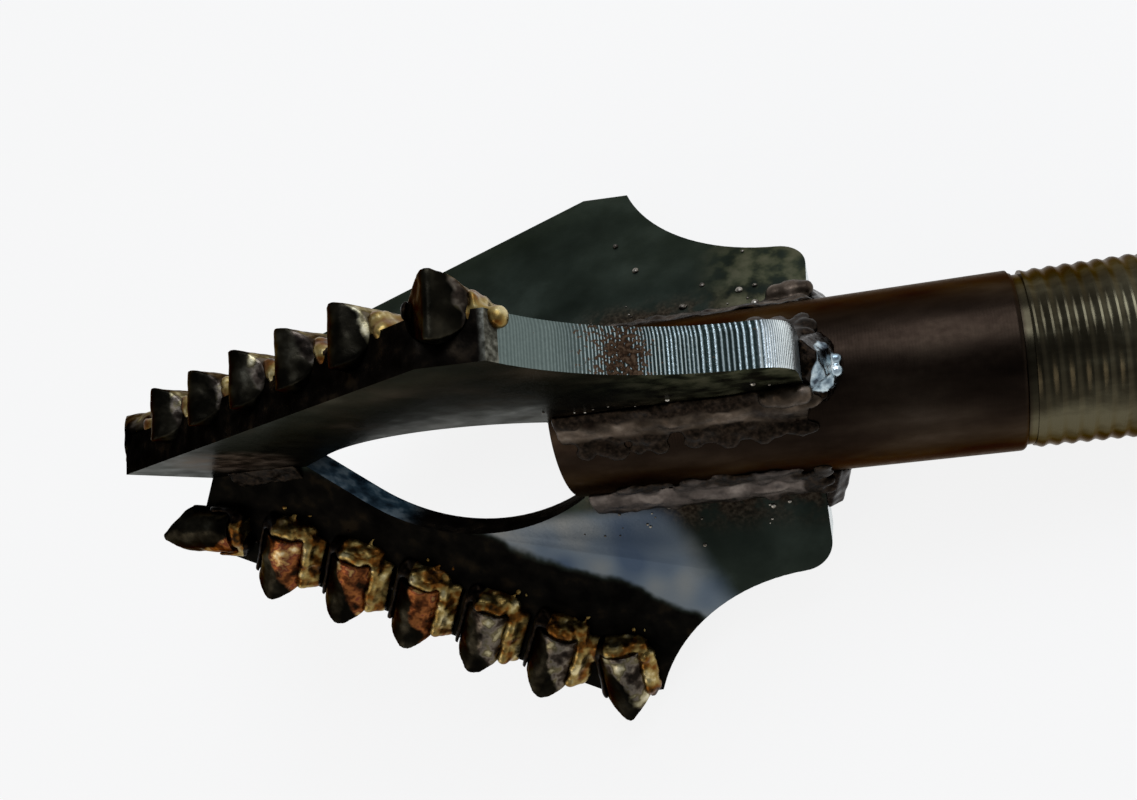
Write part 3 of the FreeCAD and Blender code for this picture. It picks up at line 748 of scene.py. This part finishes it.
step_cap(BORE_RADIUS + RIM_BREAK, BORE_RADIUS, -RIM_BREAK)
bpy.ops.mesh.delete(type="FACE")
bpy.ops.mesh.select_all(action="SELECT")
bpy.ops.mesh.remove_doubles(threshold=0.01 * MM)
edit_mode(False)
print("shank blank", len(shank.data.polygons), "faces")

# %% Thread
THREAD_PITCH = 3.9 * MM
THREAD_DEPTH = 0.6 * MM
WAVE_POINTS = 9
WAVE_SHARE = 0.43
CLEAR_OF_PIN = 0.6 * MM
THREAD_STEPS = 96
turns = math.ceil((PIN_END + THREAD_PITCH) / THREAD_PITCH)

deselect_all()
bpy.ops.mesh.primitive_circle_add(vertices=WAVE_POINTS + 2, radius=1)
cutter = bpy.context.object
tool = []
for point in range(WAVE_POINTS):
    share = WAVE_SHARE * (2 * point / (WAVE_POINTS - 1) - 1)
    depth = THREAD_DEPTH * (1 + math.cos(2 * math.pi * share)) / 2
    tool.append((PIN_RADIUS - depth, share * THREAD_PITCH))
tool += [(PIN_RADIUS + CLEAR_OF_PIN, side * WAVE_SHARE * THREAD_PITCH) for side in (1, -1)]
start_z = -PIN_END - THREAD_PITCH
for vertex, (radius, along) in zip(cutter.data.vertices, tool):
    vertex.co = (radius, 0, start_z + along)
turning = {"steps": THREAD_STEPS, "render_steps": THREAD_STEPS, "iterations": turns}
apply_modifier(cutter, "SCREW", axis="Z", angle=2 * math.pi, screw_offset=THREAD_PITCH, **turning)
edit_mode(True)
bpy.ops.mesh.fill_holes(sides=WAVE_POINTS + 2)
bpy.ops.mesh.normals_make_consistent(inside=False)
edit_mode(False)
apply_modifier(shank, "BOOLEAN", operation="DIFFERENCE", solver="EXACT", object=cutter)
bpy.data.objects.remove(cutter)
to_axis = Matrix.Rotation(math.radians(90), 4, "Y")
settle(shank, "threaded_shank", BIT @ to_axis, [TURNED_STEEL])
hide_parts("shank")
print("threaded shank", len(shank.data.polygons), "faces,", turns, "turns cut")

# %% [markdown]
# ## The wings
# Each wing keeps its CAD outline and grooves. Its sharp edges are broken by a narrow bevel, so that they
# catch the light as a cut edge does. The sweep behind the gauge is divided finely and pushed in and out
# by a band texture, which makes the torch's drag lines as real grooves: deep where the torch slowed
# behind the heel, and faint towards the gauge. Faces are then told apart by where they look, and take
# their finishes.

# %% The outline of a wing
EDGE_BREAK = 0.35 * MM
ACROSS = Vector((0, 1, 0))


def trailing_outline(wing):
    """The outline of a wing's trailing face, point by point from the foot of its heel."""
    faces = [face for face in wing.data.polygons if face.normal.dot(ACROSS) > 0.99]
    trailing = max(faces, key=lambda face: face.area)
    points = [wing.data.vertices[index].co.copy() for index in trailing.vertices]
    foot = min(range(len(points)), key=lambda index: (round(points[index].x / MM), points[index].z))
    points = points[foot:] + points[:foot]
    if points[1].z < points[-1].z:
        points = points[:1] + points[:0:-1]
    return points


def run_along(outline, point):
    """How far along the outline the place nearest to a point lies, seen across the plate."""
    best_gap = math.inf
    best_run = 0
    run = 0
    for start, end in zip(outline, outline[1:]):
        step = Vector((end.x - start.x, 0, end.z - start.z))
        offset = Vector((point.x - start.x, 0, point.z - start.z))
        share = min(max(offset.dot(step) / max(step.length_squared, 1e-12), 0), 1)
        gap = (offset - step * share).length
        if gap < best_gap:
            best_gap = gap
            best_run = run + share * step.length
        run += step.length
    return best_run


print("outline helpers ready")

# %% Maps of a wing
# Along the rim from the foot of the heel: up to so many mm, a line every so many mm
DRAG_ZONES = ((35, 0.7), (50, 1.45), (57, 1.15), (200, 0.95))
# The lines hook back in the last part of the plate, and their spacing wanders: by so much, over so long
HOOK_FROM = 0.45
HOOK_MM = 1.5
WANDER_MM = ((0.25, 1.7), (0.2, 4.3))
RADIANS_TO_MAP = 20


def lines_before(run, y):
    """How many drag lines lie between the foot of the heel and a place on the rim."""
    share = -y / HALF_PLATE
    place = run / MM - HOOK_MM * max(share - HOOK_FROM, 0) ** 2
    place += sum(far * math.sin(place / length) for far, length in WANDER_MM)
    lines = 0
    start = 0
    for end, pitch in DRAG_ZONES:
        lines += min(max(place - start, 0), end - start) / pitch
        start = end
    return lines


def map_wing(wing, outline):
    """Two maps: millimetres along the bit and up the wing, and a count of drag lines round the rim."""
    plate = wing.data.uv_layers.new(name="plate")
    drag = wing.data.uv_layers.new(name="drag")
    counts = {}
    for loop in wing.data.loops:
        point = wing.data.vertices[loop.vertex_index].co
        plate.data[loop.index].uv = (point.x / MM, point.z / MM)
        if point.x > GAUGE_CORNER.x or point.z < SHANK_RADIUS:
            continue
        if loop.vertex_index not in counts:
            lines = lines_before(run_along(outline, point), point.y)
            counts[loop.vertex_index] = lines * 2 * math.pi / RADIANS_TO_MAP
        drag.data[loop.index].uv = (counts[loop.vertex_index], 0.5)


print("drag lines every", [pitch for end, pitch in DRAG_ZONES], "mm from the heel on")

# %% Wings
DRAG_DEPTH = 0.22 * MM
FINE_DEPTH = 0.4
LAND_ROUND = 1.6 * MM
CUTS = 9
LEADING, TRAILING, CUT, SHADED = range(4)
TORCH = bpy.data.textures.new("torch", "WOOD")
TORCH.wood_type = "BANDS"
TORCH.noise_basis_2 = "SIN"
BY_DRAG_MAP = {"texture": TORCH, "texture_coords": "UV", "uv_layer": "drag", "vertex_group": "grooved"}


def on_sweep(centre, normal):
    """Whether a face lies on the sweep or the heel end of a wing's rim."""
    return abs(normal.y) < 0.3 and centre.x < GAUGE_SETBACK - TOUCH and normal.z > 0.01


def finish_of(face):
    """Which of a wing's four finishes a face takes, by where it lies and looks."""
    if abs(face.normal.y) >= 0.8:
        return LEADING if face.normal.y < 0 else TRAILING
    behind_land = face.center.x < GAUGE_SETBACK - LAND_ROUND
    return CUT if behind_land and face.center.z > SHANK_RADIUS else SHADED


def dress_wing(number):
    """One wing with broken edges, drag lines on its sweep, and its faces finished apart."""
    wing = copy_of_node(f"wing_{number}", f"dressed_wing_{number}", wing_frame(number))
    edit_mode(True)
    bpy.ops.mesh.dissolve_limited(angle_limit=math.radians(1.0))
    edit_mode(False)
    outline = trailing_outline(wing)
    sharp = {"limit_method": "ANGLE", "angle_limit": math.radians(50)}
    apply_modifier(wing, "BEVEL", width=EDGE_BREAK, segments=2, use_clamp_overlap=True, **sharp)
    edit_mode(True)
    select_where(wing, "FACE", lambda face: on_sweep(face.calc_center_median(), face.normal))
    bpy.ops.mesh.subdivide(number_cuts=CUTS)
    edit_mode(False)
    map_wing(wing, outline)
    grooved = wing.vertex_groups.new(name="grooved")
    for polygon in wing.data.polygons:
        if on_sweep(polygon.center, polygon.normal):
            coarse = HEEL_BLOCK_MM < polygon.center.x / MM < RUST_REAR_MM
            grooved.add(polygon.vertices, 1 if coarse else FINE_DEPTH, "REPLACE")
    apply_modifier(wing, "DISPLACE", strength=DRAG_DEPTH, mid_level=0.8, **BY_DRAG_MAP)
    face_finishes = [finish_of(polygon) for polygon in wing.data.polygons]
    # The first wing's trailing face takes the darker copy, painted shade
    trailing = SHADED_TRAILING_FACE if number == 1 else TRAILING_FACE
    finishes = [LEADING_FACE, trailing, CUT_EDGE, SHADED_EDGE]
    settle(wing, f"dressed_wing_{number}", wing_frame(number), finishes)
    wing.data.polygons.foreach_set("material_index", face_finishes)
    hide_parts(f"wing_{number}")
    return wing


wings = [dress_wing(number) for number in range(1, WINGS + 1)]
print("wings", [len(wing.data.polygons) for wing in wings])

# %% [markdown]
# ## The inserts
# A carbide insert is pressed and sintered, so its edges are softly rounded, and the flux and brass that
# burnt on to it leave it uneven. A fine remesh gives each one enough faces to be dented by a noise. Each
# one then carries the attribute that its finish reads.

# %% Inserts
LUMPS = bpy.data.textures.new("lumps", "CLOUDS")
LUMPS.noise_scale = 5 * MM
LUMPS.noise_depth = 1
HALF_INSERT = 12 * MM
# The nose insert points away from the torch, so its smears stay this much further down its flank
CLEAN_MM = 5
HOT_WING = 3
FIRST_PALE = 5


def roughen(obj, voxel, factor, rounds, dents, level):
    """Remeshes a piece finely, softens its edges and dents its faces. Lengths in mm."""
    apply_modifier(obj, "REMESH", mode="VOXEL", voxel_size=voxel * MM)
    apply_modifier(obj, "SMOOTH", factor=factor, iterations=rounds)
    dent = {"texture": LUMPS, "texture_coords": "LOCAL", "strength": dents * MM, "mid_level": level}
    apply_modifier(obj, "DISPLACE", **dent)


def towards_gauge(number):
    """Square to an insert's axis, in the plane of its wing, towards the gauge."""
    axis = insert_axis(number)
    return Vector((-axis.z, 0, axis.x))


def dress_tooth(wing, number):
    """One insert, its edges rounded and its faces slightly uneven."""
    name = f"tooth_{wing}_{number}"
    own_frame = wing_frame(wing)
    tooth = copy_of_node(name, f"dressed_{name}", own_frame)
    roughen(tooth, 0.45, 0.5, 4, 0.7, 0.62)
    centre = own_frame.inverted() @ middle(name)
    flank = towards_gauge(number)
    axis = insert_axis(number)
    clean = CLEAN_MM if number == NOSE_TOOTH else 0
    insert = tooth.data.attributes.new("insert", "FLOAT_VECTOR", "POINT")
    for vertex in tooth.data.vertices:
        offset = (vertex.co - centre) / MM
        across = offset.dot(flank) - clean
        insert.data[vertex.index].vector = (across, offset.y, HALF_INSERT / MM - offset.dot(axis))
    finish = COPPER_CARBIDE if wing == HOT_WING and number < FIRST_PALE else PALE_CARBIDE
    settle(tooth, f"dressed_{name}", own_frame, [finish], smooth=60)
    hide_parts(name)
    return tooth


teeth = [dress_tooth(wing, number) for wing in range(1, WINGS + 1) for number in range(1, TEETH + 1)]
print(len(teeth), "inserts,", sum(len(tooth.data.polygons) for tooth in teeth), "faces")

# %% [markdown]
# ## The braze
# Brass was fed in by hand with the torch held behind each insert, so it is heaped against the base,
# spills down the side of the gauge and fills the gap to the next insert out to the cutting edge. On the
# side of the nose it was burnt black. A crust of it runs on to the gauge land, and on the first wing it
# ends in a drop. The CAD pool is the start. Flattened balls of brass are laid where the brass ran, at
# seeded places, and one remesh melts the lot together.

# %% Balls of melt
random.seed(11)


def jitter(spread):
    """A seeded draw, up to this much either way."""
    return random.uniform(-spread, spread)


def three_sizes(low, high, size=1):
    """The seeded half sizes of a ball, from mm."""
    return [size * random.uniform(low, high) * MM for _ in range(3)]


def ball(place, radii, turned=Matrix.Identity(4)):
    """A flattened ball at a place in the wing's frame, as a separate object."""
    deselect_all()
    bpy.ops.mesh.primitive_ico_sphere_add(subdivisions=2, radius=1)
    obj = bpy.context.object
    obj.data.transform(Matrix.Translation(place) @ turned @ Matrix.Diagonal((*radii, 1)))
    return obj


def melt(obj, others, voxel, rounds, dents):
    """Joins balls into one piece and melts them together."""
    join(obj, others)
    roughen(obj, voxel, 0.6, rounds, dents, 0.5)


def soft_step(low, high, value):
    """Rises smoothly from 0 at low to 1 at high."""
    share = min(max((value - low) / (high - low), 0), 1)
    return share * share * (3 - 2 * share)


def burn_and_shade(obj, how_dark):
    """Gives a piece the attribute that its finish reads: how dark it is, vertex by vertex, from burning,
    and on the heel lumps from painted shade.
    """
    burnt_and_shade = obj.data.attributes.new("burnt_and_shade", "FLOAT", "POINT")
    for vertex in obj.data.vertices:
        burnt_and_shade.data[vertex.index].value = how_dark(vertex.co)


print("melting helpers ready")

# %% Where the brass ran
LEADING_PLANE = -HALF_PLATE
HALF_TOOTH = 8 * MM
LONG_CRUST_WING = 1
BALL_SPACING = 2.6
SPILL_STEPS = 6
CRUST_STEPS = 9
CRUMBS = 3
# Rows of the heap behind an insert, in mm: height over the plate, and how far the row reaches either way
HEAP_ROWS = ((0.3, 7.5), (2.8, 6.0), (5.2, 3.6))
# Rows of the spill beside it, in mm: out from the insert's side, height over the plate, and size
SPILL_ROWS = ((-0.6, 4.2, 2.3), (0.8, 2.0, 2.6), (2.4, 0.2, 2.9))


def brass_on(centre, axis, flank, number):
    """Balls of brass round one insert: heaped against its base, down its gauge side and in crumbs."""
    balls = []
    for high, wide in HEAP_ROWS:
        across = -wide
        while across < wide + 0.5:
            down = HALF_INSERT + (1.4 - 0.2 * high + jitter(0.6)) * MM
            place = centre + flank * (across + jitter(0.4)) * MM - axis * down
            place.y = LEADING_PLANE - (high + jitter(0.3)) * MM
            balls.append(ball(place, three_sizes(2.5, 3.2)))
            across += BALL_SPACING
    for step in range(0 if number == NOSE_TOOTH else SPILL_STEPS):
        out = 5.5 - 15 * step / (SPILL_STEPS - 1)
        for aside, high, size in SPILL_ROWS:
            if number == GAUGE_TOOTH and (aside > 1 or step == 0):
                continue
            beside = HALF_TOOTH + (aside + jitter(0.3)) * MM
            place = centre + flank * beside + axis * (out + jitter(0.5)) * MM
            place.y = LEADING_PLANE - (high + jitter(0.3)) * MM
            balls.append(ball(place, three_sizes(0.9, 1.1, size)))
    for _ in range(CRUMBS):
        across = random.uniform(-7, 9) * MM
        down = HALF_INSERT + random.uniform(3.5, 7) * MM
        place = centre + flank * across - axis * down
        place.y = LEADING_PLANE
        balls.append(ball(place, three_sizes(0.7, 1.5)))
    return balls


def brass_on_land(wing):
    """A crust of brass along the gauge land's leading edge. On one wing it is long, and ends in a drop."""
    balls = []
    start = GAUGE_CORNER + Vector((-9, 0, -2.4)) * MM
    end = Vector((GAUGE_SETBACK, 0, GAUGE_CORNER.z)) + Vector((1.5, 0, -3.6)) * MM
    reach = 1 if wing == LONG_CRUST_WING else 0.4
    for step in range(CRUST_STEPS):
        place = start.lerp(end, reach * step / (CRUST_STEPS - 1))
        place.y = LEADING_PLANE + random.uniform(-0.6, 1.2) * MM
        radii = [size * random.uniform(0.8, 1.2) * MM for size in (1.9, 2.1, 1.7)]
        balls.append(ball(place, radii))
    if wing == LONG_CRUST_WING:
        drop = end + Vector((-3.5, 0, -1)) * MM
        drop.y = LEADING_PLANE + 1.4 * MM
        balls.append(ball(drop, Vector((3.0, 3.0, 2.6)) * MM))
    return balls


print("brass in", len(HEAP_ROWS), "rows behind an insert and", len(SPILL_ROWS), "beside it")

# %% Braze
def dress_braze(wing):
    """The brass of one wing: the CAD pools with what ran over them."""
    name = f"braze_{wing}"
    own_frame = wing_frame(wing)
    pool = copy_of_node(name, f"flowed_{name}", own_frame)
    seats = []
    for number in range(1, TEETH + 1):
        centre = own_frame.inverted() @ middle(f"tooth_{wing}_{number}")
        seats.append((centre, insert_axis(number), towards_gauge(number)))
    balls = brass_on_land(wing)
    for number, seat in enumerate(seats, 1):
        balls += brass_on(*seat, number)
    melt(pool, balls, 0.5, 20, 0.9)

    def how_dark(point):
        """Black on the side of the nose, clean over the base and towards the gauge."""
        centre, axis, flank = min(seats, key=lambda seat: (seat[0] - point).length)
        across = (point - centre).dot(flank) / MM
        down = (centre - point).dot(axis) / MM
        over_base = soft_step(9, 12, down) * soft_step(-7, -3, across)
        return 1 - max(over_base, soft_step(4, 7, across))

    burn_and_shade(pool, how_dark)
    settle(pool, f"flowed_{name}", own_frame, [BRAZE], smooth=70)
    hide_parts(name)
    return pool


pools = [dress_braze(wing) for wing in range(1, WINGS + 1)]
print("braze", [len(pool.data.polygons) for pool in pools])

# %% [markdown]
# ## The welds
# The root welds are broad, low beads, laid in several passes and half hidden under scale: the CAD fillet
# gives their body, and four rows of flattened balls along the seam give the wavy edges, the ripples and
# the swelling at the heel where the welder paused. Each heel is closed by a last short pass. On the first
# wing it left a bright blob with a crater beside it, and round the blob the lump is painted nearly black
# as shade; on the others it is a plain sooty lump.

# %% Root welds
WELD_STEP = 3.2 * MM
SKIPPED_SHARE = 0.25
# In mm: out from the plate, up from the tube, and the half sizes along, across and up
FLAT_BALLS = (
    (0.9, 5.4, 3.0, 1.1, 1.9),
    (3.2, 2.6, 3.4, 2.3, 2.0),
    (6.4, 0.6, 3.4, 2.8, 1.3),
    (9.4, 0.2, 3.4, 2.8, 1.0),
)
# The swelling at the heel of a trailing bead, in mm: ahead of the heel, and size
HEEL_BALLS = ((1.5, 3.4), (5, 4.0), (9, 3.2))


def dress_root_weld(number, side, label, finish):
    """One root weld: the CAD fillet with uneven puddles along it, and a lump at the heel."""
    name = f"root_weld_{number}_{label}"
    own_frame = wing_frame(number)
    weld = copy_of_node(name, f"bead_{number}_{label}", own_frame)
    balls = []
    for step in range(int((SEAT_LENGTH - 4 * MM) / WELD_STEP)):
        for out, up, *half_sizes in FLAT_BALLS:
            if random.random() < SKIPPED_SHARE:
                continue
            across = HALF_PLATE + (out + jitter(0.8)) * MM
            foot = math.sqrt(SHANK_RADIUS ** 2 - across ** 2)
            z = foot + (up + random.uniform(-0.8, 0.5)) * MM
            x = HEEL + (step + jitter(0.3)) * WELD_STEP
            size = random.uniform(0.8, 1.2)
            slant = math.asin(across / SHANK_RADIUS) if up < 1 else 0
            turned = Matrix.Rotation(-side * slant, 4, "X")
            radii = [half * size * MM for half in half_sizes]
            balls.append(ball(Vector((x, side * across, z)), radii, turned))
    root_z = math.sqrt(SHANK_RADIUS ** 2 - HALF_PLATE ** 2)
    for x, size in HEEL_BALLS if side > 0 else ():
        place = Vector((HEEL + x * MM, HALF_PLATE + 2.5 * MM, root_z + 8 * MM))
        balls.append(ball(place, (size * 1.2 * MM, size * 0.9 * MM, size * MM)))
    melt(weld, balls, 0.55, 12, 0.8)

    def how_dark(point):
        """Dark where the bead runs out on the plate and on the tube, but not on the lump at the heel."""
        behind = (point.x - HEEL) / MM
        on_plate = soft_step(2, 6, (point.z - root_z) / MM)
        on_tube = soft_step(4.5, 9, (abs(point.y) - HALF_PLATE) / MM)
        if side > 0:
            return max(on_plate * (1 - soft_step(14, 10, behind)), on_tube)
        return max(on_plate * (1 - 0.4), on_tube * 0.55, soft_step(9, 2, behind))

    burn_and_shade(weld, how_dark)
    settle(weld, f"bead_{number}_{label}", own_frame, [finish], smooth=70)
    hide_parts(name)
    return weld


beads = []
for number in range(1, WINGS + 1):
    beads.append(dress_root_weld(number, -1, "lead", DUSTY_WELD))
    beads.append(dress_root_weld(number, 1, "trail", ROOT_WELD))
print(len(beads), "root welds,", sum(len(bead.data.polygons) for bead in beads), "faces")

# %% Heel lumps
BLOB_Y = 1.5 * MM
BLOB_REACH = 5.5 * MM
# In mm: behind the heel, across the plate, up from the tube, and size. The first ball is on every wing.
LUMP_BALLS = (
    (-3.0, 0.2, 7.6, 3.0),
    (-4.4, -2.0, 5.6, 2.6),
    (-3.6, 3.2, 6.4, 2.9),
    (-5.4, -3.6, 5.2, 1.8),
    (-5.8, 5.0, 3.4, 2.2),
    (-8.4, 2.2, 2.2, 1.7),
    (-8.6, -1.0, 2.4, 1.6),
    (-4.4, 8.2, 2.0, 1.4),
    (-3.0, 9.8, 0.8, 1.0),
)


def dress_heel_weld(number):
    """The lump behind a wing's heel, on the first wing with a bright blob and painted shade round it."""
    name = f"heel_weld_{number}"
    own_frame = wing_frame(number)
    lump = copy_of_node(name, f"lump_{number}", own_frame)
    foot = SHANK_RADIUS
    balls = []
    for x, y, z, size in LUMP_BALLS if number == 1 else LUMP_BALLS[:1]:
        place = Vector((HEEL + x * MM, y * MM, foot + (z - 0.6) * MM))
        balls.append(ball(place, three_sizes(0.85, 1.15, size)))
    melt(lump, balls, 0.45, 3, 0.8)
    # Painted shade: the lump is dark all over, but for the bright blob on the first wing
    blob = Vector((HEEL - 5.5 * MM, BLOB_Y, foot + 5 * MM))
    reach = BLOB_REACH if number == 1 else 0
    burn_and_shade(lump, lambda point: soft_step(reach, reach + 2.5 * MM, (point - blob).length))
    settle(lump, f"lump_{number}", own_frame, [HEEL_WELD], smooth=70)
    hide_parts(name)
    return lump


lumps = [dress_heel_weld(number) for number in range(1, WINGS + 1)]
print(len(lumps), "heel lumps,", sum(len(lump.data.polygons) for lump in lumps), "faces")

# %% Nose welds
NOSE_WELD_BURNT = 0.6


def dress_nose_weld(number):
    """The short fillet between two plates ahead of the water arch, roughened."""
    name = f"nose_weld_{number}"
    own_frame = wing_frame(number)
    weld = copy_of_node(name, f"rippled_{name}", own_frame)
    roughen(weld, 0.4, 0.6, 4, 1.6, 0.45)
    burn_and_shade(weld, lambda point: NOSE_WELD_BURNT)
    settle(weld, f"rippled_{name}", own_frame, [ROOT_WELD], smooth=70)
    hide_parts(name)
    return weld


nose_welds = [dress_nose_weld(number) for number in range(1, WINGS + 1)]
print(len(nose_welds), "nose welds")

# %% [markdown]
# ## Spatter
# Drops thrown off by the arc froze on the plates and the tube, mostly within a finger's width of the root
# welds. Each is a sphere of few faces, a little flattened. A few large ones stand where the photograph
# shows them, and the rest are scattered by a seeded draw.

# %% Spatter
SMALL_DROPS = 26
ROUND_FROM_MM = 0.65
# In mm along the bit and up the wing, then the side of the plate and the drop's radius
LARGE_DROPS = {
    1: ((68, 41, 1, 0.8), (92, 35, 1, 0.7), (110, 33, -1, 0.8), (84, 38, -1, 1.0)),
    2: ((95, 35, 1, 1.4), (89, 44, 1, 1.0), (77, 39, 1, 1.3), (72, 40, 1, 0.9))
    + ((72, 32, 1, 1.5), (120, 70, 1, 1.0), (112, 56, 1, 1.2), (76, 57, 1, 0.6)),
    3: ((95, 45, -1, 0.7), (104, 31, -1, 0.8), (120, 30, -1, 0.9))
    + ((72, 34, -1, 0.9), (67, 33, -1, 0.7), (111, 37, -1, 0.6)),
}


def drops_on(number):
    """The spatter on both faces of one wing, as one piece."""
    drops = []
    places = list(LARGE_DROPS[number])
    for _ in range(SMALL_DROPS):
        x = random.uniform(HEEL / MM + 3, SHANK_LENGTH / MM + 4)
        up = ROOT_MM + 5.5 + abs(random.gauss(0, 4))
        places.append((x, up, random.choice((-1, 1)), random.uniform(0.25, 0.6)))
    for x, up, side, size in places:
        deselect_all()
        detail = 1 if size < ROUND_FROM_MM else 2
        bpy.ops.mesh.primitive_ico_sphere_add(subdivisions=detail, radius=size * MM)
        drop = bpy.context.object
        flat = Matrix.Diagonal((1, random.uniform(0.5, 0.8), random.uniform(0.8, 1), 1))
        drop.data.transform(Matrix.Translation((x * MM, side * (HALF_PLATE + 0.1 * MM), up * MM)) @ flat)
        drops.append(drop)
    join(drops[0], drops)
    name = f"spatter_{number}"
    return settle(drops[0], name, wing_frame(number), [SPATTER_METAL], smooth=80)


spatter = [drops_on(number) for number in range(1, WINGS + 1)]
print("spatter", [len(piece.data.polygons) for piece in spatter])

# %% [markdown]
# ## Floor and light
# The bit lies on a plain white floor that keeps only its soft shadow. Metal shows what stands round it,
# so the light comes from large soft panels: a bright cool one behind and above, as from a window, and a
# weak one at the side. The room is pale at its walls and dim overhead, which keeps the tops of dark metal
# dark.

# %% Floor
FLOOR_GLOW = 0.85


def studio_white():
    """White floor for the camera and for reflections, with the shadow kept."""
    material = bpy.data.materials.new("studio_white")
    material.use_nodes = True
    tree = material.node_tree
    add = partial(add_node, tree)
    paint = tree.nodes["Principled BSDF"]
    set_inputs(tree, paint, {"Base Color": hex_colour("#E6E6E6"), "Roughness": 0.9})
    rays = [add("LightPath", {}, f"Is {kind} Ray") for kind in ("Camera", "Glossy", "Transmission")]
    seen = add(MATH, rays[:2], operation="MAXIMUM")
    seen = add(MATH, [seen, rays[2]], operation="MAXIMUM")
    share = add(MATH, [seen, FLOOR_GLOW], **TIMES)
    glow = add("Emission", {"Color": hex_colour("#FFFFFF"), "Strength": 1.0})
    mixed = add("MixShader", [share, paint.outputs["BSDF"], glow])
    set_inputs(tree, tree.nodes["Material Output"], {"Surface": mixed})
    return material


deselect_all()
bpy.ops.mesh.primitive_plane_add(size=8, location=(0, 0, 0))
floor = bpy.context.object
floor.name = "floor"
floor.data.materials.append(studio_white())
print("floor ready")

# %% Room
world = bpy.data.worlds.new("studio")
bpy.context.scene.world = world
world.use_nodes = True
room = world.node_tree
height = add_node(room, SPLIT, [add_node(room, "TexCoord", {}, "Generated")], "Z")
sky_stops = ((0.0, "#F4F5F7"), (0.25, "#D9DCE0"), (0.6, "#9EA2A8"), (1.0, "#84888E"))
sky = add_node(room, RAMP, [height], stops=sky_stops)
set_inputs(room, room.nodes["Background"], {"Color": sky, "Strength": 0.9})


def panel(name, place, size, watts, code):
    """A soft square panel of light that looks at the middle of the bit."""
    data = bpy.data.lights.new(name, "AREA")
    data.shape = "SQUARE"
    data.size = size
    data.energy = watts
    data.color = hex_colour(code)[:3]
    lamp = bpy.data.objects.new(name, data)
    bpy.context.scene.collection.objects.link(lamp)
    lamp.location = place
    lamp.rotation_euler = (Vector((0, 0, 0.06)) - Vector(place)).to_track_quat("-Z", "Y").to_euler()
    return lamp


window = panel("window_light", (0.45, 0.78, 1.07), 0.8, 9, "#E8F0FF")
fill = panel("fill_light", (-0.6, -0.7, 0.8), 0.6, 2, "#FFF3E6")
print("lights", window.name, fill.name)
